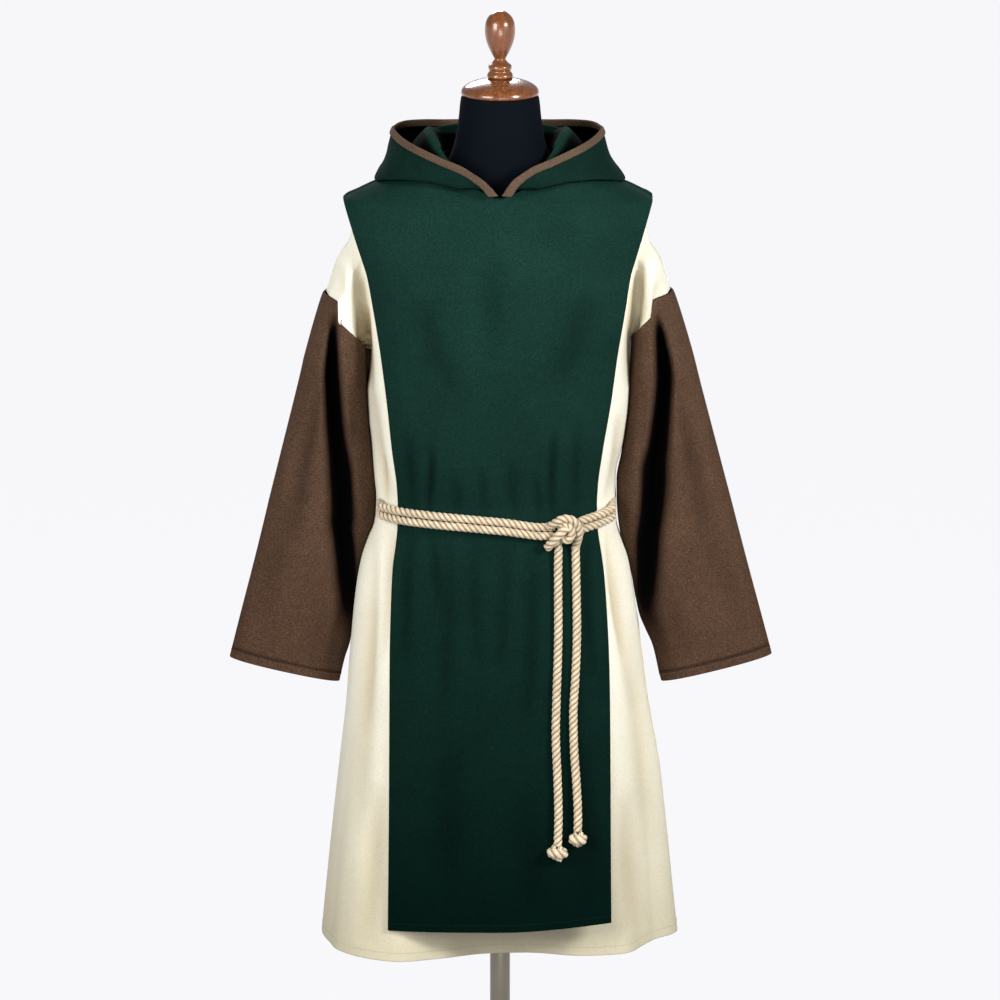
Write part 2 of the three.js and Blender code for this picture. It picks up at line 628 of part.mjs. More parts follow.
function scapularPanel(half) {
  const forward = half === "front" ? -1 : 1;
  const flat = SCAPULAR.slice(0, SCAPULAR_FLAT_ROWS);
  const rows = flat.map(({ z, left, right }) => {
    const row = [];
    for (let i = 0; i <= SCAPULAR_COLUMNS; i += 1) {
      const x = mix(-left, right, i / SCAPULAR_COLUMNS);
      row.push(point(x, forward * scapularDepth(x, z, half), z));
    }
    return row;
  });
  const base = rows[rows.length - 1];
  const ridge = SCAPULAR_SHOULDER.length - 1;
  SCAPULAR_RISES.forEach((rise) => {
    rows.push(
      base.map((start, i) => {
        const top = scapularTop(i, half);
        const x = mix(start.x, top.x, rise);
        const z = mix(start.z, top.z, rise);
        const onRidge = rise === 1 && Math.min(i, SCAPULAR_COLUMNS - i) <= ridge;
        return point(x, forward * (onRidge ? SEAM_GAP / 2 : scapularDepth(x, z, half)), z);
      }),
    );
  });
  const last = rows.length - 1;
  const face = (j, i) => {
    const onRidge = j === last && Math.min(i, SCAPULAR_COLUMNS - i) <= ridge;
    if (!onRidge) return null;
    return seamFacing(rows[j][Math.max(i - 1, 0)], rows[j][Math.min(i + 1, SCAPULAR_COLUMNS)], 1);
  };
  return clothWall(rows, { side: -forward, face });
}

// ---------------------------------------------------------------- hood
// A line of the hood at an angle from the front (0) over the side (90) to the back (180).
function hoodLinePoint(row, angle) {
  const turn = radians(angle);
  const s = Math.sin(turn);
  const c = Math.cos(turn);
  const reach = c > 0 ? row.middle - row.front : row.back - row.middle;
  const x = row.half * s;
  const y = row.middle - reach * c;
  const front = row.zSide + (row.zFront - row.zSide) * (1 - s) ** row.sharp + row.swell * Math.sin(2 * turn);
  const back = row.zSide + (row.zBack - row.zSide) * Math.abs(c) ** row.drop;
  return point(x, y, c > 0 ? front : back);
}

// The seam that joins the hood to the scapular's neckline, resting on it.
function hoodSeamPoint(angle) {
  const turn = radians(angle);
  const half = angle < 90 ? "front" : "back";
  const neck = SCAPULAR_SHOULDER[SCAPULAR_SHOULDER.length - 1];
  const x = neck.right * Math.sin(turn);
  const z = neck.z - NECK_DROP[half] * (1 - Math.sin(turn) ** 1.5);
  return point(x, (half === "front" ? -1 : 1) * scapularDepth(x, z, half), z + HOOD_SEAT);
}

// Keeps the hood outside the scapular that it rests on.
function offTheScapular(p) {
  const forward = p.y < 0 ? -1 : 1;
  const depth = scapularDepth(p.x, p.z, forward < 0 ? "front" : "back", 3 * HOOD_CLEAR);
  if (depth > 1 && Math.abs(p.y) < depth + HOOD_CLEAR) p.y = forward * (depth + HOOD_CLEAR);
  return p;
}

const bindingWidth = (angle) => BINDING.width * mix(0.55, 1, clamp((angle - HOOD_START) / 20, 0, 1));

function hoodColumn(angle) {
  const lines = [hoodSeamPoint(angle), ...HOOD_LINES.map((row) => offTheScapular(hoodLinePoint(row, angle)))];
  const rim = lines.length - 1;
  const strip = 1 - clamp((angle - HOOD_START) / (HOOD_STRIP - HOOD_START), 0, 1) ** 1.5;
  const towards = lines[rim - 1].clone().lerp(lines[0], strip);
  lines[rim].addScaledVector(towards.clone().sub(lines[rim]).normalize(), bindingWidth(angle));
  const [start, end] = [lines[0], lines[lines.length - 1]];
  const opened = lines.map((p, k) => p.clone().lerp(start.clone().lerp(end, k / (lines.length - 1)), strip));
  const column = [];
  for (let k = 0; k < opened.length - 1; k += 1) {
    for (let step = 0; step < HOOD_SPLIT; step += 1) {
      const p = opened[k].clone().lerp(opened[k + 1], step / HOOD_SPLIT);
      column.push(k + step === 0 ? p : offTheScapular(p));
    }
  }
  column.push(end);
  return column;
}

function hoodAngles() {
  const angles = [];
  for (let k = 0; k <= HOOD_STEPS; k += 1) angles.push(mix(HOOD_START, 180, k / HOOD_STEPS));
  return angles;
}

function hoodColumns(sign) {
  return hoodAngles().map((angle, k) =>
    hoodColumn(angle).map((p) => point(sign * (k === HOOD_STEPS ? SEAM_GAP / 2 : p.x), p.y, p.z)),
  );
}

function hoodHalf(sign) {
  const columns = hoodColumns(sign);
  const face = (j, i, facing) => {
    if (j !== HOOD_STEPS) return null;
    return point(0, facing.y, facing.z).normalize();
  };
  return clothWall(columns, { side: -sign, face });
}

// The binding caps the face edge, from the left end of the V round the back to the right.
function hoodBinding() {
  const columns = hoodColumns(-1);
  const facing = facings(columns, false, 1);
  const { proud, crown, gap } = BINDING;
  const rings = columns.map((column, j) => {
    const edge = column[column.length - 1].clone();
    const along = edge.clone().sub(column[column.length - 2]).normalize();
    const out = facing[j][column.length - 1].clone();
    if (j === HOOD_STEPS) [edge, along, out].forEach((vector) => vector.setX(0));
    const width = bindingWidth(hoodAngles()[j]);
    const section = [
      [gap, 0],
      [gap + 2, proud],
      [width - crown, proud],
      [width, proud - crown],
      [width, crown - proud - CLOTH],
      [width - crown, -proud - CLOTH],
      [gap + 2, -proud - CLOTH],
      [gap, -CLOTH],
    ];
    return section.map(([a, b]) => edge.clone().addScaledVector(along, a).addScaledVector(out, b));
  });
  const mirrored = rings.map((ring) => ring.map((p) => point(-p.x, p.y, p.z)));
  return fromSolid(asSolid(ringSolid(rings)).add(asSolid(ringSolid(mirrored))));
}

// A solid through rings of equal count, closed by a fan or by ear clipping at both ends.
function ringSolid(rings) {
  const around = rings[0].length;
  const triangles = [];
  for (let j = 0; j < rings.length - 1; j += 1) {
    for (let i = 0; i < around; i += 1) {
      const a = j * around + i;
      const b = j * around + ((i + 1) % around);
      triangles.push(a, b, b + around, a, b + around, a + around);
    }
  }
  const flat = sectionInPlane(rings[0]);
  THREE.ShapeUtils.triangulateShape(flat, []).forEach(([a, b, c]) => {
    triangles.push(c, b, a);
    const end = (rings.length - 1) * around;
    triangles.push(end + a, end + b, end + c);
  });
  const geometry = solid(rings.flat(), triangles);
  return volume(geometry) < 0 ? turned(geometry) : geometry;
}

// A ring's points in its own plane, for filling its end.
function sectionInPlane(ring) {
  const centre = ring.reduce((sum, p) => sum.add(p), point(0, 0, 0)).divideScalar(ring.length);
  const u = ring[0].clone().sub(centre).normalize();
  const spokes = ring.map((p) => p.clone().sub(centre));
  const normal = point(0, 0, 0);
  spokes.forEach((spoke, i) => normal.add(spoke.clone().cross(spokes[(i + 1) % ring.length])));
  const v = normal.normalize().cross(u);
  return spokes.map((spoke) => new THREE.Vector2(spoke.dot(u), spoke.dot(v)));
}

function volume(geometry) {
  const at = geometry.getAttribute("position");
  const index = geometry.getIndex();
  const corner = (k) => new THREE.Vector3().fromBufferAttribute(at, index.getX(k));
  let six = 0;
  for (let k = 0; k < index.count; k += 3) six += corner(k).dot(corner(k + 1).cross(corner(k + 2)));
  return six / 6;
}

function turned(geometry) {
  const index = Array.from(geometry.getIndex().array);
  for (let k = 0; k < index.length; k += 3) [index[k], index[k + 1]] = [index[k + 1], index[k]];
  geometry.setIndex(index);
  return geometry;
}

// ---------------------------------------------------------------- dress form and stand
function formTorso() {
  const rings = FORM.map(({ z, half, depth }) => {
    const ring = [];
    for (let i = 0; i < FORM_SIDES; i += 1) {
      const turn = (2 * Math.PI * i) / FORM_SIDES;
      const power = z > 1490 ? 2 : FULLNESS;
      const [c, s] = [Math.cos(turn), Math.sin(turn)];
      const x = half * Math.sign(c) * Math.abs(c) ** (2 / power);
      ring.push(point(x, depth * Math.sign(s) * Math.abs(s) ** (2 / power), z));
    }
    return ring;
  });
  return ringSolid(rings);
}

function lathe(profile, sides) {
  const geometry = new THREE.LatheGeometry(profile.map(([r, z]) => new THREE.Vector2(r, z)), sides);
  geometry.rotateX(Math.PI / 2);
  return geometry;
}

// Turned profiles: radius and height over the piece's own underside.
const CAP_PROFILE = [[0, 0], [54, 0], [55, 3], [53.5, 8], [47, 16], [36, 22.5], [24, 27], [0, 28]];
const BEAD_PROFILE = [[0, 0], [16, 0], [18, 4.2], [16, 8.4], [14.6, 9.4], [16.2, 13], [14.6, 17], [9.6, 20]];
const EGG = { bottom: 24, height: 67, radius: 21.7, stalk: 9.6, steps: 8, blunt: 0.92 };
const CAP_HEIGHT = CAP_PROFILE[CAP_PROFILE.length - 1][1];

const raised = (profile, z) => profile.map(([radius, height]) => [radius, height + z]);

function neckCap() {
  return lathe(raised(CAP_PROFILE, NECK_TOP + SEAM_GAP), 20);
}

function finial() {
  const profile = [...BEAD_PROFILE, [EGG.stalk, EGG.bottom]];
  for (let k = 1; k <= EGG.steps; k += 1) {
    const turn = (Math.PI * (k + 0.6)) / (EGG.steps + 1.6);
    const rise = (EGG.height * (1 - Math.cos(turn))) / 2;
    profile.push([EGG.radius * Math.sin(turn) ** EGG.blunt, EGG.bottom + rise]);
  }
  profile.push([0, EGG.bottom + EGG.height]);
  return lathe(raised(profile, NECK_TOP + CAP_HEIGHT + 2 * SEAM_GAP), 16);
}

const upright = (geometry, z) => geometry.rotateX(Math.PI / 2).translate(0, 0, z);

function pole() {
  const low = BASE_HEIGHT + SEAM_GAP;
  const high = FORM_BOTTOM - SEAM_GAP;
  const radius = POLE_DIAMETER / 2;
  return upright(new THREE.CylinderGeometry(radius, radius, high - low, 24), (low + high) / 2);
}

function collar() {
  const inside = POLE_DIAMETER / 2 + SEAM_GAP;
  const outside = COLLAR_DIAMETER / 2;
  const profile = [[inside, 0], [outside, 0], [outside, 8], [21, 18], [20, COLLAR_HEIGHT]];
  profile.push([inside, COLLAR_HEIGHT], [inside, 0]);
  return lathe(raised(profile, BASE_HEIGHT + SEAM_GAP), 24);
}

function base() {
  const r = BASE_DIAMETER / 2;
  const h = BASE_HEIGHT;
  return lathe([[0, 0], [r - 1, 0], [r, 1], [r, h - 4], [r - 4, h], [0, h]], 40);
}

// ---------------------------------------------------------------- rope belt
function rope(points, diameter, steps, sides = ROPE_SIDES) {
  const section = [];
  for (let k = 0; k < sides; k += 1) {
    const turn = (2 * Math.PI * k) / sides;
    section.push(new THREE.Vector2(Math.cos(turn), Math.sin(turn)).multiplyScalar(diameter / 2));
  }
  const path = new THREE.CatmullRomCurve3(points, false, "centripetal");
  const options = { extrudePath: path, steps, bevelEnabled: false };
  return new THREE.ExtrudeGeometry(new THREE.Shape(section), options);
}

function beltPoint(angle, turn) {
  const z = eased(BELT, "angle", angle, "z") + turn * BELT_RISE;
  const front = angle <= 180;
  const across = -Math.cos(radians(angle));
  const sideways = Math.abs(Math.sin(radians(angle)));
  const widest = (column) => {
    const heights = [z - ROPE / 2, z, z + ROPE / 2];
    return Math.max(...heights.map((height) => lookup(TUNIC, "z", height, column)));
  };
  const lean = turn < 0 ? BELT_LEAN * sideways : 0;
  const onScapular = clamp((sideways - 0.1) / 0.3, 0, 1);
  const clear = ROPE / 2 + BELT_CLEAR + lean;
  const reach = widest(across < 0 ? "left" : "right") + clear + BELT_SPREAD * onScapular;
  const depth = widest(front ? "front" : "back") + clear + SCAPULAR_LIFT * onScapular;
  const power = 2 / FULLNESS;
  const x = reach * Math.sign(across) * Math.abs(across) ** power;
  const y = depth * sideways ** power;
  return point(x, front ? -y : y, z);
}

const KNOT_ANGLE = { start: 135, end: 468.5 }; // the turns leave the knot and come back to it

const KNOT_GAP = 0.4; // degrees that the lower turn ends before the upper one, clear of the knot

function beltTurn(turn) {
  const end = KNOT_ANGLE.end - (turn < 0 ? KNOT_GAP : 0);
  const points = [];
  for (let k = 0; k <= BELT_STEPS; k += 1) {
    points.push(beltPoint(mix(KNOT_ANGLE.start, end, k / BELT_STEPS) % 360, turn));
  }
  return rope(points, ROPE, BELT_STEPS);
}

function tailPoint(x, z) {
  return point(x, -(scapularDepth(x, z, "front") + TAIL_LIFT), z);
}

function asSolid(geometry) {
  const bare = new THREE.BufferGeometry();
  bare.setAttribute("position", geometry.getAttribute("position").clone());
  if (geometry.getIndex()) bare.setIndex(geometry.getIndex().clone());
  const merged = mergeVertices(bare, 1e-3);
  const vertProperties = new Float32Array(merged.getAttribute("position").array);
  const triVerts = new Uint32Array(merged.getIndex().array);
  return new wasm.Manifold(new wasm.Mesh({ numProp: 3, vertProperties, triVerts }));
}

function fromSolid(body) {
  const { vertProperties, triVerts } = body.getMesh();
  const geometry = new THREE.BufferGeometry();
  geometry.setAttribute("position", new THREE.Float32BufferAttribute(vertProperties, 3));
  geometry.setIndex(Array.from(triVerts));
  return geometry;
}

// Three stretches of the knot, by place over the knot's middle: across, out and up.
const KNOT_STRETCHES = {
  arch: [[-21, 1, -3], [-13, 5, 9], [0, 8, 16], [12, 6, 12], [17, 4, 0], [15, 4, -14], [15, 2, -22]],
  lobe: [[-21, 3, -22], [-12, 11, -12], [-1, 13, -1], [8, 8, 9]],
  bight: [[22, 1, 6], [10, 3, -4], [-2, 2, -12], [-10, 2, -22]],
};

function knotBody(diameter, longer = 0) {
  const middle = tailPoint(KNOT.x, KNOT.z);
  const stretches = Object.values(KNOT_STRETCHES).map((stretch) => {
    const points = stretch.map(([across, out, up]) => {
      return point(middle.x + across, middle.y - out - KNOT.out, middle.z + up);
    });
    const [first, last] = [points[0], points[points.length - 1]];
    first.addScaledVector(first.clone().sub(points[1]).normalize(), longer);
    last.addScaledVector(last.clone().sub(points[points.length - 2]).normalize(), longer);
    return asSolid(rope(points, diameter, 8, ROPE_SIDES));
  });
  return stretches.reduce((sum, next) => sum.add(next));
}

function tail(name) {
  const points = TAILS[name].map(({ x, z }) => tailPoint(x, z));
  const knots = knotBody(KNOT_ROPE + 6 * SEAM_GAP, 4 * SEAM_GAP);
  return fromSolid(asSolid(rope(points, ROPE, TAIL_STEPS)).subtract(knots));
}

// An overhand knot drawn tight: a ball with a strand's swell lying slantwise across it.
function endKnot(name) {
  const { x, z, halfWidth, halfHeight, halfDepth } = END_KNOTS[name];
  const ball = new THREE.SphereGeometry(1, 14, 10);
  const at = ball.getAttribute("position");
  for (let k = 0; k < at.count; k += 1) {
    const p = new THREE.Vector3().fromBufferAttribute(at, k);
    const band = Math.cos(Math.PI * 1.6 * (p.z * 0.8 + p.x * 0.6));
    p.multiplyScalar(0.93 + 0.07 * band);
    at.setXYZ(k, p.x * halfWidth, p.y * halfDepth, p.z * halfHeight);
  }
  const middle = tailPoint(x, z);
  ball.translate(middle.x, middle.y - halfDepth + ROPE / 2, middle.z);
  const route = TAILS[name].map((row) => tailPoint(row.x, row.z));
  route[route.length - 1].z -= SEAM_GAP;
  const pocket = asSolid(rope(route, ROPE + 2 * SEAM_GAP, TAIL_STEPS));
  return fromSolid(asSolid(ball).subtract(pocket));
}

// ---------------------------------------------------------------- the object
const habit = new THREE.Group();

const GREEN = { color: 0x1c3a30, roughness: 0.95, metalness: 0 };
const BROWN = { color: 0x5a4437, roughness: 0.95, metalness: 0 };
const CREAM = { color: 0xe2dcc6, roughness: 0.95, metalness: 0 };
const BINDING_BROWN = { color: 0x7d5f4e, roughness: 0.9, metalness: 0 };
const ROPE_TAN = { color: 0xd0b48c, roughness: 0.9, metalness: 0 };
const FORM_CLOTH = { color: 0x121822, roughness: 0.85, metalness: 0 };
const WOOD = { color: 0x9a5c30, roughness: 0.35, metalness: 0 };
const STEEL = { color: 0x86827a, roughness: 0.4, metalness: 0.9 };

function add(name, geometry, finish) {
  const mesh = new THREE.Mesh(geometry, new THREE.MeshStandardMaterial(finish));
  mesh.name = name;
  habit.add(mesh);
}

add("base", base(), STEEL);
add("pole_collar", collar(), STEEL);
add("pole", pole(), STEEL);
add("form_torso", formTorso(), FORM_CLOTH);
add("neck_cap", neckCap(), WOOD);
add("finial", finial(), WOOD);
add("tunic_front", tunicPanel("front"), CREAM);
add("tunic_back", tunicPanel("back"), CREAM);
add("sleeve_left", sleeve("left"), BROWN);
add("sleeve_right", sleeve("right"), BROWN);
add("scapular_front", scapularPanel("front"), GREEN);
add("scapular_back", scapularPanel("back"), GREEN);
add("hood_left", hoodHalf(-1), GREEN);
add("hood_right", hoodHalf(1), GREEN);
add("hood_binding", hoodBinding(), BINDING_BROWN);
add("belt_turn_upper", beltTurn(1), ROPE_TAN);
add("belt_turn_lower", beltTurn(-1), ROPE_TAN);
add("belt_knot", fromSolid(knotBody(KNOT_ROPE)), ROPE_TAN);
add("tail_left", tail("left"), ROPE_TAN);
add("tail_right", tail("right"), ROPE_TAN);
add("tail_knot_left", endKnot("left"), ROPE_TAN);
add("tail_knot_right", endKnot("right"), ROPE_TAN);

export default habit;
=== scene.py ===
# %% [markdown]
# # A monk habit on a dress form
#
# The habit is cut and sewn from felted wool: a cream tunic, brown sleeves set in on a stepped
# seam, a green scapular with a hood thrown back, and a belt of laid rope. It hangs on a limbless
# dress form with a turned wooden neck cap. Every cloth piece here is a thin shell over a grid of
# points, because cloth has an even thickness and its form is easiest to say as a height or depth
# for each place on the pattern piece.

import math

import bpy
import numpy as np
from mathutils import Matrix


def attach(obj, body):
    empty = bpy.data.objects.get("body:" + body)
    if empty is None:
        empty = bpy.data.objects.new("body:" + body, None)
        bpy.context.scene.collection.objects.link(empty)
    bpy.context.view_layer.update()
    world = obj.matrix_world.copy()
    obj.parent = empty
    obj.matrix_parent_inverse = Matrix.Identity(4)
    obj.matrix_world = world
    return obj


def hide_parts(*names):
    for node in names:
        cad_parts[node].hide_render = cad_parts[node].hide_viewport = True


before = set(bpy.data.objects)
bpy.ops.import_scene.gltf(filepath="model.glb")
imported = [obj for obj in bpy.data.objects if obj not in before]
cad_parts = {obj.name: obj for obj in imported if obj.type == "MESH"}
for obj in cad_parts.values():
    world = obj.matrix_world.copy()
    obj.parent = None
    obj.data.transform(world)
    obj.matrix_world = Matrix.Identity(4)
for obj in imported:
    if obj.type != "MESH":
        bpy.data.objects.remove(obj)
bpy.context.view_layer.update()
MM = 0.001
print("frame nodes:", len(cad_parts))

# %% [markdown]
# A long lens far from the object keeps its proportions upright. The camera looks down a little,
# so the hood shows its opening and the hem curves away at the sides.

# %% Camera
TARGET = (0.0, 0.0, 1.015)
ELEVATION = math.radians(11)
DISTANCE = 25.0
FRAME_WIDTH = 1.4  # metres seen across the picture at the object

camera_data = bpy.data.cameras.new("camera")
camera_data.sensor_width = 36
camera_data.lens = camera_data.sensor_width * DISTANCE / FRAME_WIDTH
camera_data.clip_end = 400
camera = bpy.data.objects.new("camera", camera_data)
camera.location = (
    TARGET[0],
    TARGET[1] - DISTANCE * math.cos(ELEVATION),
    TARGET[2] + DISTANCE * math.sin(ELEVATION),
)
camera.rotation_euler = (math.pi / 2 - ELEVATION, 0, 0)
bpy.context.scene.collection.objects.link(camera)
bpy.context.scene.camera = camera

# %% [markdown]
# The two tails of the belt hang free. Each leaves the knot at the waist, hangs down over the
# scapular and ends in an overhand knot, so each is one fixed length of limp rope. Their routes
# are settled first, in metres, because the other pieces are modelled around them.

# %% Routes of the hanging tails
ROPE_DIAMETER = 0.012
TAIL_LEFT = [
    (0.0815, -0.1159, 0.9660), (0.0810, -0.1196, 0.9400), (0.0812, -0.1329, 0.8420),
    (0.0786, -0.1447, 0.7520), (0.0778, -0.1499, 0.7090), (0.0804, -0.1565, 0.6460),
    (0.0816, -0.1622, 0.6000), (0.0807, -0.1678, 0.5555),
]
TAIL_RIGHT = [
    (0.1054, -0.1064, 0.9700), (0.1060, -0.1109, 0.9400), (0.1072, -0.1254, 0.8420),
    (0.1052, -0.1330, 0.7900), (0.1024, -0.1405, 0.7420), (0.1034, -0.1474, 0.6880),
    (0.1064, -0.1526, 0.6460), (0.1088, -0.1588, 0.6000), (0.1085, -0.1628, 0.5750),
]


def curve_through(points, spacing):
    """A centripetal Catmull-Rom curve through the points, sampled at an even spacing. Each span is
    blended from straight lines three times over, with knots at the square root of the distance."""
    p = np.asarray(points, float)
    p = np.vstack([2 * p[0] - p[1], p, 2 * p[-1] - p[-2]])
    knots = np.concatenate([[0], np.cumsum(np.linalg.norm(np.diff(p, axis=0), axis=1) ** 0.5)])
    spans = []
    for k in range(1, len(p) - 2):
        t = np.linspace(knots[k], knots[k + 1], 60, endpoint=False)[:, None]
        t0, t1, t2, t3 = knots[k - 1 : k + 3]
        p0, p1, p2, p3 = p[k - 1 : k + 3]
        a1 = ((t1 - t) * p0 + (t - t0) * p1) / (t1 - t0)
        a2 = ((t2 - t) * p1 + (t - t1) * p2) / (t2 - t1)
        a3 = ((t3 - t) * p2 + (t - t2) * p3) / (t3 - t2)
        b1 = ((t2 - t) * a1 + (t - t0) * a2) / (t2 - t0)
        b2 = ((t3 - t) * a2 + (t - t1) * a3) / (t3 - t1)
        spans.append(((t2 - t) * b1 + (t - t1) * b2) / (t2 - t1))
    fine = np.vstack([*spans, p[-2][None]])
    run = np.concatenate([[0], np.cumsum(np.linalg.norm(np.diff(fine, axis=0), axis=1))])
    count = max(int(round(run[-1] / spacing)), 2)
    at = np.linspace(0, run[-1], count + 1)
    return np.stack([np.interp(at, run, fine[:, axis]) for axis in range(3)], axis=1), run[-1]


tail_left_path, tail_left_length = curve_through(TAIL_LEFT, 0.0015)
tail_right_path, tail_right_length = curve_through(TAIL_RIGHT, 0.0015)
print("tail lengths:", round(tail_left_length, 4), round(tail_right_length, 4))

# %% [markdown]
# Sizes of the garment are kept in short tables, in millimetres, as a maker keeps a pattern. A
# table is read with a monotone cubic, which passes through every row and never bulges past it,
# so cloth drawn through the rows stays smooth.

# %% Reading a table
CLOTH = 2.4  # thickness of the felted wool
SEAM_GAP = 0.3  # between two cloths that are sewn together or tucked into each other
SCAPULAR_LIFT = 5  # of the scapular over the tunic
ROUNDNESS = 2.3  # power of a superellipse that is a little squarer than an ellipse
# The hollow value paints shade on the cloth and the rope; 0 is open.
CREASE_FLOOR = 0.7  # hollow value at the bottom of a crease; inside the cloth it is 1.0


def smooth(keys, values, at):
    """Monotone cubic through the rows: a Hermite curve whose slope at a row is the weighted
    harmonic mean of the slopes on either side, or none where those differ in sign."""
    keys, values = np.asarray(keys, float), np.asarray(values, float)
    step = np.diff(keys)
    slope = np.diff(values) / step
    before, after = slope[:-1], slope[1:]
    same = before * after > 0
    w1, w2 = 2 * step[1:] + step[:-1], step[1:] + 2 * step[:-1]
    mean = (w1 + w2) / (w1 / np.where(same, before, 1) + w2 / np.where(same, after, 1))
    tangent = np.concatenate([[slope[0]], np.where(same, mean, 0), [slope[-1]]])
    k = np.clip(np.searchsorted(keys, at, side="right") - 1, 0, len(step) - 1)
    t = np.clip((at - keys[k]) / step[k], 0, 1)
    rise = values[k + 1] - values[k]
    bend = tangent[k] * step[k] * t * (1 - t) ** 2 - tangent[k + 1] * step[k] * t**2 * (1 - t)
    return values[k] + rise * t**2 * (3 - 2 * t) + bend


def mix(a, b, t):
    """From a to b, as t goes from 0 to 1."""
    return a + (b - a) * t


def eased(low, high, at):
    """From 0 to 1 between two places, flat at both: t^2 (3 - 2 t)."""
    t = np.clip((at - low) / (high - low), 0, 1)
    return t**2 * (3 - 2 * t)


def unit(v):
    """Vectors of length 1."""
    return v / np.maximum(np.linalg.norm(v, axis=-1, keepdims=True), 1e-9)


# %% [markdown]
# A cloth piece starts as a grid of points on its outer face. The wall's inner face lies one cloth
# thickness behind it, along the face's own normals, and narrow strips close the cut edges. That
# gives a real turned edge at the hems, which a single sheet of faces would not have.

# %% Shell, mesh and crease helpers
def facing(grid, closed, side):
    """Unit normals of a grid: the cross product of the differences across and along it."""
    if closed:
        across = np.roll(grid, -1, axis=1) - np.roll(grid, 1, axis=1)
    else:
        across = np.gradient(grid, axis=1)
    return unit(np.cross(across, np.gradient(grid, axis=0)) * side)


def grid_faces(rows, columns, closed=False):
    """Corner numbers of a grid's quads, row by row."""
    steps = columns if closed else columns - 1
    j, i = np.meshgrid(np.arange(rows - 1), np.arange(steps), indexing="ij")
    a = j * columns + i
    b = j * columns + (i + 1) % columns
    return np.stack([a, b, b + columns, a + columns], axis=-1).reshape(-1, 4)


def linked(name, data):
    """An object of the scene that shows the data."""
    made = bpy.data.objects.new(name, data)
    bpy.context.scene.collection.objects.link(made)
    return made


def bare_mesh(name, points, faces):
    """A flat-shaded mesh from points in millimetres."""
    mesh = bpy.data.meshes.new(name)
    mesh.from_pydata((points * MM).tolist(), [], faces)
    return mesh


def mapped_mesh(name, points, faces, uv, hollow):
    """A smooth-shaded mesh with a map in metres. hollow says for each point how deep in a fold it
    lies, from 0 to 1, and the cloth and the rope are darkened with it as painted shade."""
    mesh = bare_mesh(name, points, faces)
    mesh.polygons.foreach_set("use_smooth", np.ones(len(faces), bool))
    layer = mesh.uv_layers.new(name="cloth")
    corners = np.empty(len(mesh.loops), int)
    mesh.loops.foreach_get("vertex_index", corners)
    layer.data.foreach_set("uv", uv[corners].ravel())
    depths = mesh.attributes.new("hollow", "FLOAT", "POINT")
    depths.data.foreach_set("value", hollow)
    return mesh


def shell(name, creased_grid, closed=False, side=1, inside=0.6):
    """A wall of even thickness behind the outer grid, closed round its edges. inside is the hollow
    value of its back face, which paints shade on it."""
    outer, hollow = creased_grid
    rows, columns = outer.shape[:2]
    inner = outer - facing(outer, closed, side) * CLOTH
    under = rows * columns
    face = grid_faces(rows, columns, closed)
    back = face[:, [0, 3, 2, 1]] + under
    i = np.arange(columns if closed else columns - 1)
    ahead = (i + 1) % columns
    top = (rows - 1) * columns
    edges = [(ahead, i), (top + i, top + ahead)]
    if not closed:
        left = np.arange(rows - 1) * columns
        right = left + columns - 1
        edges += [(left, left + columns), (right + columns, right)]
    strips = [np.stack([a, b, under + b, under + a], axis=1) for a, b in edges]
    faces = np.vstack([face, back, *strips])
    if side < 0:
        faces = faces[:, ::-1]
    points = np.vstack([outer.reshape(-1, 3), inner.reshape(-1, 3)])
    across = np.linalg.norm(np.diff(outer, axis=1, prepend=outer[:, :1]), axis=2).cumsum(axis=1)
    along = np.linalg.norm(np.diff(outer, axis=0, prepend=outer[:1]), axis=2).cumsum(axis=0)
    uv = np.stack([across, along], axis=2).reshape(-1, 2) * MM
    deep = np.stack([hollow, np.broadcast_to(inside, hollow.shape)]).ravel()
    piece = linked(name, mapped_mesh(name, points, faces.tolist(), np.vstack([uv, uv]), deep))
    cells = np.cross(outer[1:, 1:] - outer[:-1, :-1], outer[1:, :-1] - outer[:-1, 1:])
    area = np.linalg.norm(cells, axis=2).sum() / 2 * MM**2
    print(f"{name}: {len(faces) * 2} triangles, {area:.3f} m2")
    return piece


def creased(grid, creases, closed=False, side=1, hollow=0, deepest=8):
    """The grid with creases pressed in, and how hollow each point lies. Each crease is a line in x
    and z that bows sideways; its depth falls off as a bell across the line and as a half sine
    towards both ends. A crease of the deepest depth gets the hollow value of a crease's floor, and
    the hollow value paints shade on the cloth."""
    x, z = grid[..., 0], grid[..., 2]
    push = np.zeros_like(x)
    for x0, z0, x1, z1, bow, width, depth in creases:
        run = math.hypot(x1 - x0, z1 - z0)
        t = ((x - x0) * (x1 - x0) + (z - z0) * (z1 - z0)) / run**2
        inside = np.clip(t, 0, 1)
        off = ((x - x0) * (z1 - z0) - (z - z0) * (x1 - x0)) / run - 4 * bow * inside * (1 - inside)
        push += depth * np.exp(-((off / width) ** 2)) * np.sin(math.pi * inside) ** 0.7
    pressed = grid - facing(grid, closed, side) * push[..., None]
    return pressed, np.maximum(hollow, CREASE_FLOOR * np.clip(push / deepest, 0, 1))


def ramp_to_edge(count, edge, fine):
    """Shares from 0 to 1 in which the first part, up to edge, takes fine steps of its own."""
    start = np.linspace(0, edge, fine, endpoint=False)
    return np.concatenate([start, np.linspace(edge, 1, count - fine)])


def eased_rise(count):
    """Shares above 0 up to 1 whose steps grow shorter towards 1: 1 - (1 - t)^1.3."""
    return (1 - (1 - np.linspace(0, 1, count + 1)[1:]) ** 1.3)[:, None]


# %% [markdown]
# ## Tunic
#
# The tunic is an A-line body in a front and a back panel, joined at the sides and along the
# shoulders. Its sections are superellipses, a little squarer than an ellipse, and the skirt's
# folds are pushed in from that section, deepest at the hem and gone at the waist. Half-widths
# are named left and right as seen from the front.

# %% Tunic tables and sections
HEM, HIP = 388, 948
UNDERARM_LEFT, UNDERARM_RIGHT = 1231, 1250
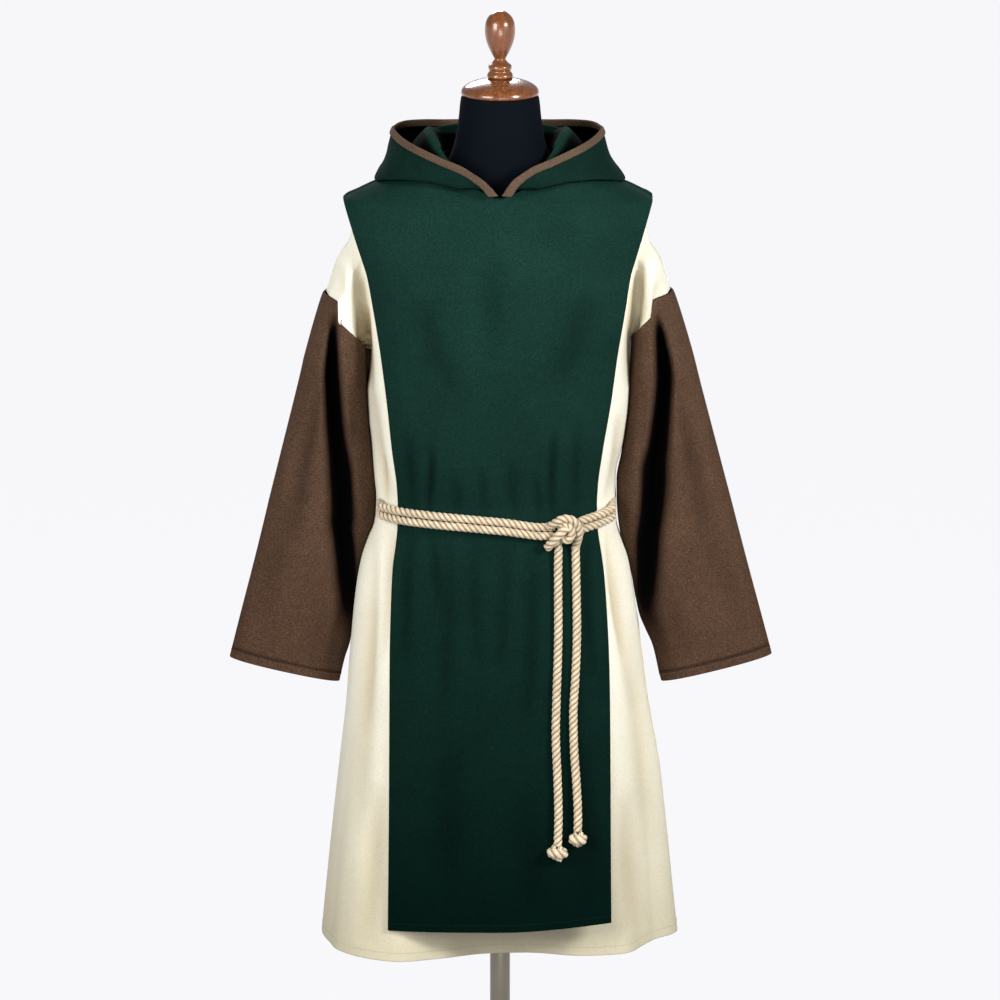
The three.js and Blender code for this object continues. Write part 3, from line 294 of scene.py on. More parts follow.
# z, left half-width, right half-width, front depth, back depth, share of the folds
TUNIC = np.array([
    (388, 252, 251, 178, 172, 1.0), (450, 246, 244, 170, 165, 0.9), (540, 237, 235, 160, 156, 0.75),
    (640, 226, 224, 150, 147, 0.56), (730, 216, 209, 141, 139, 0.38),
    (810, 210, 199, 133, 131, 0.22), (880, 203.5, 188, 125, 122, 0.1),
    (935, 194.5, 179.6, 118, 114, 0.03), (965, 185.6, 170, 113, 109, 0),
    (990, 175.6, 163, 110, 105, 0), (1022, 173.6, 161.6, 110, 104, 0),
    (1048, 176.2, 163, 115, 108, 0), (1100, 181.4, 173.6, 122, 116, 0),
    (1170, 188.4, 181.4, 127, 122, 0), (1231, 189.4, 185.2, 129, 126, 0),
    (1300, 196, 194, 125, 124, 0), (1360, 203, 201, 119, 121, 0), (1400, 205, 203, 112, 116, 0),
    (1440, 200, 199, 97, 107, 0), (1460, 178, 178, 87, 99, 0), (1476, 130, 130, 80, 90, 0),
    (1483, 112, 112, 77, 84, 0), (1488, 97, 97, 75, 80, 0),
])
# angle round the hem (0 left, 90 front, 180 right, 270 back) and depth of the fold there
FOLDS = np.array([
    (0, 0), (18, 3), (34, -4), (62, 0), (78, 38), (93, 80), (108, 54), (121, 40), (134, 28),
    (148, 34), (161, 30), (180, 0), (203, 36), (226, 6), (250, 62), (276, 14), (300, 54), (324, 6),
    (343, 22), (360, 0),
])
HEM_SIDE_RISE = 14  # of the hem at the sides
HEM_RISE_TOP = 540  # where that rise has faded out


def tunic_size(z, column):
    """One column of the tunic's table, read at a height."""
    return smooth(TUNIC[:, 0], TUNIC[:, column], z)


def tunic_reach(x, z):
    """Half-width on the side where x lies."""
    return np.where(x < 0, tunic_size(z, 1), tunic_size(z, 2))


def fullness(z):
    """Power of the section's superellipse, 3 at the hem and less from the hips up."""
    return mix(3.0, ROUNDNESS, np.clip((z - HEM) / (HIP - HEM), 0, 1))


def tunic_depth(x, z, back):
    """Depth times (1 - share^p)^(1/p), where share is x over the half-width."""
    power = fullness(z)
    share = np.clip(np.abs(x) / tunic_reach(x, z), 0, 1)
    return tunic_size(z, 4 if back else 3) * (1 - share**power) ** (1 / power)


def skirt_point(z, angle, back):
    """x, y and z of the skirt at an angle from the left side (0) to the right side (180). The fold
    moves the point in, along the section's normal."""
    turn = np.radians(angle)
    power = fullness(z)
    across = -np.cos(turn)
    reach = np.where(across < 0, tunic_size(z, 1), tunic_size(z, 2))
    depth = tunic_size(z, 4 if back else 3)
    x = reach * np.sign(across) * np.abs(across) ** (2 / power)
    y = depth * np.abs(np.sin(turn)) ** (2 / power)
    place = 360 - angle if back else angle
    fold = smooth(FOLDS[:, 0], FOLDS[:, 1], place) * tunic_size(z, 5)
    inward = np.stack([across / reach, np.sin(turn) / depth])
    inward = inward / np.linalg.norm(inward, axis=0) * fold
    return x - inward[0], (y - inward[1]) * (1 if back else -1), z


# %% [markdown]
# The sleeve's seam is stepped: it runs from the underarm forward, up the front of the arm and then
# sideways over its top. The panel above the underarm is drawn between the chest and the shoulder
# line, and near its sides it is pulled over to that seam.

# %% Seam and shoulder tables
# rise, y, left x, left z, right x, right z
SEAM = np.array([
    (0, 0, 184, 1231, 183, 1250), (0.08, 34, 189, 1242, 187, 1259), (0.2, 58, 203, 1260, 196, 1272),
    (0.38, 64, 222, 1279, 210, 1287), (0.62, 60, 224, 1309, 213, 1311),
    (0.85, 32, 238, 1312, 233, 1315), (1, 0, 243, 1313, 238, 1316),
])
# place, left x, right x, z of the line over the arm and the shoulder to the neck
SHOULDER = np.array([
    (0, 243, 238, 1313), (1, 226, 222, 1362), (2, 209, 207, 1390), (3, 200, 199, 1440),
    (4, 178, 178, 1460), (5, 130, 130, 1476), (6, 112, 112, 1483), (7, 97, 97, 1488),
])
# z, outer edge and depth of the cloth over the upper arm
ARM = np.array([(1230, 243, 64), (1313, 243, 64), (1362, 226, 52), (1390, 209, 34), (1440, 200, 0)])
ARM_HALF = 26  # from the arm's middle to its outer edge
ARM_FALL = 30  # from the arm's middle to where it is gone on the inner side
ARM_EASE = 8  # radius of the hollow between arm and body
SEAM_PULL = 0.13  # share of the panel's width, at each side, that is pulled over to the seam
# last place of the shoulder line, and place of the neck's middle
TUNIC_PLACES = (7, 12)
TUNIC_NECK = (97, 1488)  # x and z where the shoulder line meets the neckline
NECK_DROP_FRONT, NECK_DROP_BACK = 46, 12
SIDE_CROWDING = 0.35  # how far the columns draw together at the sides


def arm_depth(x, z):
    """Round on the outer side of the arm's middle and falling off as a parabola on the inner."""
    off = np.abs(x) - (smooth(ARM[:, 0], ARM[:, 1], z) - ARM_HALF)
    share = np.where(off > 0, off / ARM_HALF, off / ARM_FALL)
    flat = np.clip(1 - share**2, 0, 1)
    return smooth(ARM[:, 0], ARM[:, 2], z) * np.where(off > 0, np.sqrt(flat), flat)


def rounded_max(a, b, radius):
    """The larger of two values, with the corner where they meet filled by a parabola."""
    close = np.maximum(radius - np.abs(a - b), 0) / radius
    return np.maximum(a, b) + close**2 * radius / 4


def seam_at(rise, right):
    """x, y and z of the seam at a rise, straight between its corners."""
    x, z = (4, 5) if right else (2, 3)
    return [np.interp(rise, SEAM[:, 0], SEAM[:, c]) for c in (x, 1, z)]


def neck_point(at, first, last, neck_x, neck_z, back):
    """The neckline is an ellipse whose middle drops more in front than at the back."""
    turn = np.clip((at - first) / (last - first), 0, 1) * math.pi / 2
    drop = NECK_DROP_BACK if back else NECK_DROP_FRONT
    return neck_x * np.cos(turn), neck_z - drop * (1 - np.cos(turn) ** 1.5)


def tunic_grid(back, columns, skirt_rows, upper_rows):
    """Rows of the skirt by height, then rows from the chest line to the shoulder by rise."""
    crowded = (1 - np.cos(np.linspace(0, math.pi, columns))) / 2
    u = mix(np.linspace(0, 1, columns), crowded, SIDE_CROWDING)[None, :]
    share = ramp_to_edge(skirt_rows, 0.03, 16)[:, None]
    angle = 180 * u + 0 * share
    z = mix(HEM, mix(UNDERARM_LEFT, UNDERARM_RIGHT, u), share)
    fading = np.clip((HEM_RISE_TOP - z) / (HEM_RISE_TOP - HEM), 0, 1)
    lift = HEM_SIDE_RISE * np.abs(np.cos(np.radians(angle))) ** 3 * fading
    skirt = np.stack(skirt_point(z + lift, angle, back), axis=-1)
    rise = eased_rise(upper_rows)
    at_left = u < 0.5
    side = np.minimum(u, 1 - u)
    shoulder_end, middle = TUNIC_PLACES
    at = 2 * middle * side
    line = [smooth(SHOULDER[:, 0], SHOULDER[:, c], at) for c in (1, 2, 3)]
    neck_x, neck_z = neck_point(at, shoulder_end, middle, *TUNIC_NECK, back)
    on_shoulder = at <= shoulder_end
    top_x = np.where(at_left, -1, 1) * np.where(on_shoulder, np.where(at_left, *line[:2]), neck_x)
    top_z = np.where(on_shoulder, line[2], neck_z)
    chest = skirt[-1]
    x = mix(chest[None, :, 0], top_x, rise)
    z = mix(chest[None, :, 2], top_z, rise)
    near = np.clip(1 - side / SEAM_PULL, 0, 1) ** 2
    left, right = seam_at(rise, False), seam_at(rise, True)
    seam_x, seam_y, seam_z = (np.where(at_left, *pair) for pair in zip(left, right))
    _, _, x_left, z_left, x_right, z_right = SEAM[0]
    _, top_left, top_right, top = SHOULDER[0]
    edge_x = np.where(at_left, mix(x_left, top_left, rise), mix(x_right, top_right, rise))
    edge_z = np.where(at_left, mix(z_left, top, rise), mix(z_right, top, rise))
    x = x + near * (seam_x - edge_x) * np.where(at_left, -1, 1)
    z = z + near * (seam_z - edge_z)
    depth = rounded_max(tunic_depth(x, z, back), arm_depth(x, z), ARM_EASE)
    depth = mix(depth, seam_y, eased(0, 1, 1 - at))
    depth = np.where((rise == 1) & on_shoulder, 0, depth)
    upper = np.stack([x, depth * (1 if back else -1), z], axis=-1)
    grid = np.vstack([skirt, upper])
    grid[..., 1] += (1 if back else -1) * SEAM_GAP / 2
    return grid


# %% [markdown]
# Felted wool falls in few, soft creases. They are placed one by one: gathers above and below the
# belt, a valley from the shoulder to the underarm where the arm's cloth joins the body's, and
# long shallow ones in the skirt.

# %% Tunic panels
# x and z of both ends, sideways bow, width, depth
TUNIC_FRONT_CREASES = [
    (-205, 1385, -183, 1130, -6, 8, 6), (203, 1388, 180, 1180, 5, 8, 6),
    (-222, 1358, -216, 1312, 2, 7, 3), (222, 1350, 206, 1275, -4, 8, 4),
    (-190, 1300, -186, 1180, 3, 6, 5), (-176, 1180, -150, 1020, 8, 9, 5),
    (-166, 1090, -160, 1018, 3, 5, 4), (166, 1150, 148, 1020, -6, 7, 5),
    (-157, 998, -166, 800, -4, 6, 4.5), (-148, 1000, -147, 880, 2, 5, 5),
    (-178, 985, -193, 700, -5, 9, 4), (150, 1004, 178, 800, 5, 6, 4.5),
    (141, 1000, 149, 860, 3, 5, 4), (160, 990, 190, 720, 5, 9, 4),
    (-186, 900, -205, 560, -6, 15, 4), (190, 860, 214, 520, 5, 15, 4),
    (-172, 640, -190, 410, -4, 16, 4), (176, 620, 186, 420, 3, 15, 4),
]
TUNIC_BACK_CREASES = [
    (-204, 1385, -178, 1205, -6, 9, 9), (203, 1385, 177, 1210, 5, 9, 9),
    (-174, 1160, -146, 1020, 6, 9, 5), (168, 1170, 150, 1020, -5, 8, 5),
    (-150, 1000, -166, 740, -4, 10, 5), (156, 1000, 172, 760, 4, 11, 5),
    (-188, 860, -210, 500, -5, 15, 5), (184, 830, 206, 480, 6, 14, 5),
]


def in_neck(grid):
    """Hollow value inside the hood, painted shade on the tunic where it lies out of the light."""
    return np.clip((grid[..., 2] - 1466) / 8, 0, 1)


def tunic_panel(back, creases, columns, skirt_rows, upper_rows):
    """A panel's creased grid, with how hollow each of its points lies."""
    bare = tunic_grid(back, columns, skirt_rows, upper_rows)
    side = -1 if back else 1
    return creased(bare, creases, side=side, hollow=in_neck(bare), deepest=11)


tunic_front_grid = tunic_panel(False, TUNIC_FRONT_CREASES, 170, 150, 60)
tunic_back_grid = tunic_panel(True, TUNIC_BACK_CREASES, 150, 120, 46)
tunic_front = shell("wool_tunic_front", tunic_front_grid, side=1)
tunic_back = shell("wool_tunic_back", tunic_back_grid, side=-1)

# %% [markdown]
# ## Sleeves
#
# A sleeve is a wide tube, flattened from front to back, that flares to the cuff. It hangs from the
# stepped seam, so its top edge is that seam's loop and the tube takes over a hand's breadth below
# it. One deep fold runs down the front and another down the back, where the wide cloth doubles
# in. The fold is a groove in the tube, and its floor lies out of the light, which is painted as
# shade on it.

# %% Sleeve tables
# z, left and right x of the inner edge
SLEEVE_INNER = {
    "left": np.array([
        (758, 225), (790, 217.5), (817, 209.4), (854, 205.6), (876, 202.6), (897, 200),
        (919, 196.6), (941, 192), (963, 184.6), (974, 180.4), (985, 176), (1005, 173.4),
        (1050, 174.4), (1100, 179.4), (1140, 183.4), (1180, 185.8), (1215, 185.6), (1231, 184.4),
        (1250, 185),
    ]),
    "right": np.array([
        (758, 226), (770, 222.5), (790, 218), (810, 212.5), (832, 203), (854, 194.4), (886, 188),
        (908, 184.4), (930, 179.6), (952, 173), (974, 167.4), (995, 164.6), (1017, 163.2),
        (1045, 163), (1083, 169.6), (1130, 176), (1178, 179.8), (1225, 182.8), (1250, 184),
    ]),
}
# share of the way down, half depth, place of the groove across the width on both sides, its depth
SLEEVE = np.array([
    (0, 62, 0.27, 0.3, 0), (0.035, 60, 0.29, 0.33, 0.04), (0.07, 57, 0.32, 0.385, 0.32),
    (0.11, 55, 0.37, 0.41, 0.6), (0.175, 52, 0.45, 0.455, 0.72), (0.28, 48, 0.52, 0.537, 0.76),
    (0.39, 45, 0.6, 0.6, 0.76), (0.47, 43, 0.65, 0.64, 0.76), (0.545, 42, 0.71, 0.705, 0.74),
    (0.615, 40, 0.82, 0.79, 0.7), (0.71, 38, 0.91, 0.875, 0.55), (0.8, 35, 0.97, 0.93, 0.32),
    (0.9, 32, 1, 0.97, 0.12), (1, 30, 1, 1, 0),
])
GROOVE_WIDTH = 0.105  # share of the sleeve's width
GROOVE_BEHIND = 0.16  # how much nearer the outer edge the groove behind starts
# x and z of the outer edge, and z of the inner one
SLEEVE_TOP = {
    "left": (250.6, 1309, UNDERARM_LEFT),
    "right": (246.4, 1310, UNDERARM_RIGHT),
}
SLEEVE_CUFF = {"left": (379, 792.6, 758), "right": (381, 797, 758)}
SLEEVE_LENGTH = 480
SLEEVE_OVERHANG = 3.0  # at the top outer corner, past the arm of the tunic
SLEEVE_TUCK = 0.4  # of the sleeve's top edge, down and out from the seam
SLEEVE_HELD = 0.18  # share of the length that follows the seam
CUFF_SHADOW_LINE = (13, 2.2, 0.4)  # the painted shadow line along the turned hem: height over the cuff, half-width, darkness


def sleeve_grid(name, rows, columns):
    """Down the rows the tube runs between a straight outer edge and the drawn inner edge; round
    each row it is a superellipse whose depth is cut by the groove's bell curve. Near the top it
    is drawn over to the seam. The other results are the hollow values of the outer and inner
    faces, painted shade in the groove, along a line above the cuff and inside the tube."""
    right = name == "right"
    top_x, top_z, inner_top = SLEEVE_TOP[name]
    cuff_x, cuff_z, inner_cuff = SLEEVE_CUFF[name]
    share = 1 - ramp_to_edge(rows, 0.03, 12)[::-1, None]
    turn = np.linspace(0, 2 * math.pi, columns, endpoint=False)[None, :]
    inner_z = mix(inner_top, inner_cuff, share)
    inner_x = smooth(SLEEVE_INNER[name][:, 0], SLEEVE_INNER[name][:, 1], inner_z)
    c, s = np.cos(turn), np.sin(turn)
    power = 2 / ROUNDNESS
    across = (1 - np.sign(c) * np.abs(c) ** power) / 2
    front = turn <= math.pi
    groove = smooth(SLEEVE[:, 0], SLEEVE[:, 3 if right else 2], share)
    place = np.where(front, groove, groove - GROOVE_BEHIND * (1 - share))
    off = np.abs((across - place) / GROOVE_WIDTH)
    hollow = smooth(SLEEVE[:, 0], SLEEVE[:, 4], share) * np.exp(-off**2.2)
    reach = smooth(SLEEVE[:, 0], SLEEVE[:, 1], share) * np.abs(s) ** power * (1 - hollow)
    x = mix(mix(top_x, cuff_x, share), inner_x, across)
    y = np.where(front, -reach, reach)
    z = mix(mix(top_z, cuff_z, share), inner_z, across)
    corner = (len(SEAM) - 1) * (1 - np.minimum(turn, 2 * math.pi - turn) / math.pi)
    rise = np.interp(corner, np.arange(len(SEAM)), SEAM[:, 0])
    seam_x, seam_y, seam_z = seam_at(rise, right)
    held = np.clip(1 - share / SLEEVE_HELD, 0, 1) ** 1.6
    x = mix(x, seam_x + SLEEVE_TUCK, held)
    y = mix(y, np.where(front, -seam_y, seam_y), held)
    z = mix(z, seam_z - SLEEVE_TUCK, held)
    x = x + SLEEVE_OVERHANG * (1 - across) ** 6 * np.exp(-share / 0.2)
    line_height, line_width, line_shade = CUFF_SHADOW_LINE
    from_line = (1 - share) * SLEEVE_LENGTH - line_height
    cuff_shadow = line_shade * np.exp(-((from_line / line_width) ** 2))
    # Painted shade: the groove's floor and a line above the cuff are darkened, and inside the tube
    # the cloth is dark from just below the top.
    dark = np.clip(hollow * 2.1 + cuff_shadow, 0, 1)
    inside = np.clip((share - 0.02) / 0.06, 0, 1) + 0 * x
    return np.stack([x * (1 if right else -1), y, z + 0 * x], axis=-1), dark, inside


SLEEVE_CREASES = {
    "left": [
        (-232, 1240, -290, 960, 10, 11, 4), (-262, 1210, -318, 900, -8, 16, 4),
        (-300, 1010, -336, 815, 6, 18, 3.5), (-205, 1200, -214, 1010, -4, 8, 3.5),
        (-236, 930, -262, 780, 5, 16, 3.5), (-206, 900, -238, 775, 3, 9, 3),
    ],
    "right": [
        (230, 1240, 286, 960, -9, 11, 4), (258, 1200, 312, 880, 8, 16, 4),
        (296, 1000, 338, 820, -6, 18, 3.5), (202, 1190, 204, 1000, 4, 8, 3.5),
        (226, 900, 258, 780, -5, 16, 3.5), (196, 880, 234, 772, -3, 9, 3),
    ],
}
sleeve_grids, sleeves = {}, {}
for name, side in (("left", -1), ("right", 1)):
    tube, groove_hollow, inside = sleeve_grid(name, 190, 132)
    sleeve_grids[name] = creased(tube, SLEEVE_CREASES[name], True, side, groove_hollow, deepest=24)
    sleeves[name] = shell(f"wool_sleeve_{name}", sleeve_grids[name], True, side, inside)

# %% [markdown]
# ## Scapular
#
# The scapular is one straight strip with a hole for the neck, so its edges are straight cuts and
# only the belt draws them in. It lies a few millimetres over the tunic and bridges its folds, which
# is why it is modelled from the tunic's own sections and not from the folded skirt.

# %% Scapular tables and panels
# z, left edge, right edge
SCAPULAR = np.array([
    (437, 156.8, 155.7), (540, 155.8, 155), (640, 155, 154.5), (730, 154.6, 154),
    (810, 154.2, 152.5), (880, 152.6, 149), (935, 150, 144.5), (965, 146, 140), (990, 143.4, 136.5),
    (1022, 142.8, 135.4), (1048, 144, 136.5), (1100, 150.6, 143.2), (1170, 158, 155),
    (1231, 166, 163.5), (1300, 177, 175), (1350, 186.5, 183), (1400, 203, 199), (1424, 210, 206),
    (1436, 217, 211),
])
# z, half-width of the section that the scapular follows over the arms
DRAPE = np.array([
    (1231, 189), (1300, 204), (1350, 213), (1400, 223), (1424, 223), (1436, 222), (1446, 219),
    (1454, 203), (1465, 180), (1483, 130), (1506, 80),
])
# place, left x, right x, z of its shoulder line
SCAPULAR_SHOULDER = np.array([
    (0, 219, 213, 1446), (1, 203, 200, 1454), (2, 180, 180, 1465), (3, 130, 130, 1483),
    (4, 80, 80, 1506),
])
# x and z along the front's hem; the back's is level
SCAPULAR_HEM = np.array([(-157, 433.5), (0, 433.5), (156, 444)])
SCAPULAR_BACK_HEM = 437
SCAPULAR_CHEST = 1350  # where the straight strip ends and the shoulders begin
SCAPULAR_PLACES = (4, 7)  # last place of the shoulder line, and place of the neck's middle
SCAPULAR_NECK = (80, 1506)  # x and z where the shoulder line meets the neckline


def scapular_depth(x, z, back, spare=0):
    """The tunic's section, lifted, and widened over the arms above the underarm."""
    over = smooth(DRAPE[:, 0], DRAPE[:, 1], np.maximum(z, UNDERARM_LEFT))
    under = tunic_reach(x, z) + SCAPULAR_LIFT + 0.4
    reach = mix(under, over, eased(1200, 1260, z)) + spare
    power = fullness(z)
    share = np.clip(np.abs(x) / reach, 0, 1)
    return (tunic_size(z, 4 if back else 3) + SCAPULAR_LIFT) * (1 - share**power) ** (1 / power)


def scapular_grid(back, columns, rows, upper_rows):
    """Straight across from edge to edge, then drawn from the chest to the shoulder line."""
    u = np.linspace(0, 1, columns)[None, :]
    share = ramp_to_edge(rows, 0.03, 16)[:, None]
    _, hem_left, hem_right = SCAPULAR[0]
    hem = SCAPULAR_BACK_HEM + 0 * u
    if not back:
        hem = smooth(SCAPULAR_HEM[:, 0], SCAPULAR_HEM[:, 1], mix(-hem_left, hem_right, u))
    z = mix(hem, SCAPULAR_CHEST, share)
    level = np.maximum(z, SCAPULAR[0, 0])
    left, right = (smooth(SCAPULAR[:, 0], SCAPULAR[:, c], level) for c in (1, 2))
    x = mix(-left, right, u)
    rise = eased_rise(upper_rows)
    at_left = u < 0.5
    shoulder_end, middle = SCAPULAR_PLACES
    at = 2 * middle * np.minimum(u, 1 - u)
    line = [smooth(SCAPULAR_SHOULDER[:, 0], SCAPULAR_SHOULDER[:, c], at) for c in (1, 2, 3)]
    neck_x, neck_z = neck_point(at, shoulder_end, middle, *SCAPULAR_NECK, back)
    on_shoulder = at <= shoulder_end
    top_x = np.where(at_left, -1, 1) * np.where(on_shoulder, np.where(at_left, *line[:2]), neck_x)
    top_z = np.where(on_shoulder, line[2], neck_z)
    up_x, up_z = mix(x[-1:], top_x, rise), mix(SCAPULAR_CHEST, top_z, rise)
    x, z = np.vstack([x, up_x]), np.vstack([z, up_z])
    depth = scapular_depth(x, z, back)
    ridge = np.zeros_like(depth, bool)
    ridge[-1] = on_shoulder[0]
    depth = np.where(ridge, SEAM_GAP / 2, depth)
    return np.stack([x, depth * (1 if back else -1), z], axis=-1)


SCAPULAR_FRONT_CREASES = [
    (-128, 1130, -122, 1012, 2, 8, 3), (-96, 1120, -103, 1010, -2, 6, 4.2),
    (-62, 1080, -58, 1012, 2, 8, 2), (-28, 1090, -24, 1008, -2, 8, 2),
    (14, 1100, 22, 1004, 2, 8, 2.6), (48, 1080, 56, 1004, -2, 7, 2.4),
    (77, 1140, 74, 1010, 2, 6, 4.2), (112, 1150, 108, 1010, 3, 8, 2.6),
    (-126, 996, -134, 800, 3, 9, 3), (-97, 992, -90, 880, -3, 7, 3),
    (-74, 992, -84, 700, -4, 12, 2.4), (-36, 988, -30, 800, 3, 10, 2.2),
    (8, 985, -4, 790, -3, 10, 2.2), (44, 980, 34, 700, -5, 11, 2.8), (122, 990, 132, 780, 4, 9, 3),
    (-60, 720, -70, 470, 6, 22, 2.4), (30, 640, 44, 450, -5, 24, 2.2),
    (120, 700, 128, 450, 4, 18, 2), (-110, 1330, -60, 1180, 8, 20, 2.4),
    (120, 1330, 70, 1190, -8, 20, 2.4), (-10, 1400, -6, 1230, 3, 18, 2),
    (-96, 1480, -34, 1461, -3, 5, 3), (92, 1480, 22, 1460, 3, 5, 3),
]
SCAPULAR_BACK_CREASES = [
    (-110, 1120, -114, 1016, 2, 9, 2.2), (-52, 1090, -50, 1014, -2, 9, 1.8),
    (14, 1100, 10, 1014, 2, 9, 1.8), (76, 1110, 82, 1012, -2, 9, 2.2),
    (-118, 990, -124, 780, 3, 12, 2.6), (-44, 986, -52, 740, -4, 13, 2.4),
    (34, 984, 42, 800, 3, 12, 2.2), (108, 986, 116, 740, -4, 12, 2.6),
    (-20, 700, -10, 470, 5, 24, 2.4), (80, 680, 92, 460, -4, 20, 2),
]
scapular_front_grid = creased(scapular_grid(False, 140, 210, 40), SCAPULAR_FRONT_CREASES, side=1)
scapular_back_grid = creased(scapular_grid(True, 110, 160, 32), SCAPULAR_BACK_CREASES, side=-1)
scapular_front = shell("wool_scapular_front", scapular_front_grid, side=1)
scapular_back = shell("wool_scapular_back", scapular_back_grid, side=-1)

# %% [markdown]
# ## Hood
#
# The hood is sewn to the scapular's neckline and thrown back. From the seam the cloth rises to a
# ridge beside the neck, falls into the empty bag behind, and comes up again outside to the face
# edge, which is bound. Each of these lines is an ellipse-like path round the neck with its own
# heights at front, side and back, and the cloth is a smooth curve through them at each angle.

# %% Hood tables
# for each line: half-width, y where it is widest, front y, back y
HOOD_PLAN = {
    "crest": (92, 42, -92, 101), "roll": (107, 36, -94, 112), "bag": (140, 22, -97, 168),
    "fold": (175, 25, -101, 206), "edge": (145.5, 75, -104, 142),
}
# angle from the front and height there
HOOD_HEIGHT = {
    "crest": [
        (0, 1463), (34, 1491), (48, 1506), (57, 1516), (67, 1527), (76, 1533), (90, 1534),
        (120, 1526), (150, 1522), (180, 1520),
    ],
    "roll": [
        (0, 1463), (34, 1488), (48, 1502), (60, 1514), (75, 1525), (90, 1527), (120, 1517),
        (150, 1512), (180, 1508),
    ],
    "bag": [
        (0, 1463), (40, 1480), (70, 1488), (90, 1488), (110, 1440), (135, 1350), (160, 1290),
        (180, 1272),
    ],
    "fold": [
        (0, 1462), (5, 1465.5), (12, 1470), (18, 1474.5), (26, 1479), (35, 1482), (48, 1481),
        (62, 1476.5), (80, 1469), (90, 1467.5), (105, 1462), (130, 1425), (155, 1392), (180, 1380),
    ],
    "edge": [
        (0, 1463), (1, 1465.6), (4.5, 1477.2), (8.1, 1487), (13.4, 1496), (20.1, 1505.2),
        (30, 1512.6), (41.2, 1519.8), (54.4, 1525.9), (71.5, 1531.5), (80, 1533), (90, 1532),
        (100, 1532), (110, 1534.5), (120, 1535.5), (135, 1534.5), (150, 1532.5), (180, 1531),
    ],
}
# angle and how far the cloth bows out halfway between the fold and the edge
HOOD_BOW = [(0, 1), (40, 3), (70, 0), (90, -4), (110, 0), (140, 8), (180, 12)]
HOOD_START = 1.0  # angle where the cloth begins beside the V
HOOD_STRIP = 20.0  # angle up to which the cloth lies nearly single
HOOD_SPANS = 6  # of the curve from the seam to the edge
HOOD_SEAT = 1.3  # height of the hood's seam over the scapular's neckline
BINDING_WIDTH = 10.6
BINDING_SPARE = 2.6  # thickness that the tape adds to the cloth inside it


def table(rows, at):
    """A table of two columns, read at a place."""
    rows = np.array(rows, float)
    return smooth(rows[:, 0], rows[:, 1], at)


def hood_line(name, angle):
    """An ellipse in plan that is longer behind than in front, at the heights of its table."""
    half, middle, front, back = HOOD_PLAN[name]
    turn = np.radians(angle)
    c = np.cos(turn)
    y = middle - np.where(c > 0, middle - front, back - middle) * c
    return np.stack([half * np.sin(turn), y, table(HOOD_HEIGHT[name], angle)], axis=-1)


def hood_seam(angle):
    """The scapular's neckline, which the hood is sewn to."""
    turn = np.radians(angle)
    back = angle >= 90
    x = SCAPULAR_NECK[0] * np.sin(turn)
    drop = np.where(back, NECK_DROP_BACK, NECK_DROP_FRONT)
    z = SCAPULAR_NECK[1] - drop * (1 - np.sin(turn) ** 1.5)
    y = np.where(back, scapular_depth(x, z, True), -scapular_depth(x, z, False))
    return np.stack([x, y, z + HOOD_SEAT], axis=-1)


def behind_the_scapular(p, angle):
    """At the back the bag is kept outside the scapular by a soft maximum of the two depths."""
    depth = scapular_depth(p[..., 0], p[..., 2], True, 12)
    outside = rounded_max(p[..., 1], depth + 7, 14)
    out = p.copy()
    out[..., 1] = mix(p[..., 1], outside, eased(95, 120, angle)[:, None])
    return out


def swayed(points):
    """The upper part of the hood leans a little to the left."""
    out = points.copy()
    out[..., 0] -= 3.5 * eased(1462, 1500, points[..., 2])
    return out


def binding_width(angle):
    """The tape's width over the cloth, a third wider in the V."""
    return BINDING_WIDTH * mix(1.32, 1, eased(HOOD_START, 14, angle))


def below_edge(angle):
    """Direction from the bound edge into the cloth: down towards the fold, and level sideways where
    both meet in the V."""
    down = hood_line("fold", angle) - hood_line("edge", angle)
    down[:, 1] *= 0.7
    in_v = np.array([1.0, 0.15, -0.1]) * 30
    return unit(mix(in_v, down, eased(HOOD_START, 16, angle)[:, None]))


def hood_angles(stations):
    """Angles from the V to the back, closer together near the V."""
    return HOOD_START + (180 - HOOD_START) * np.linspace(0, 1, stations) ** 1.25


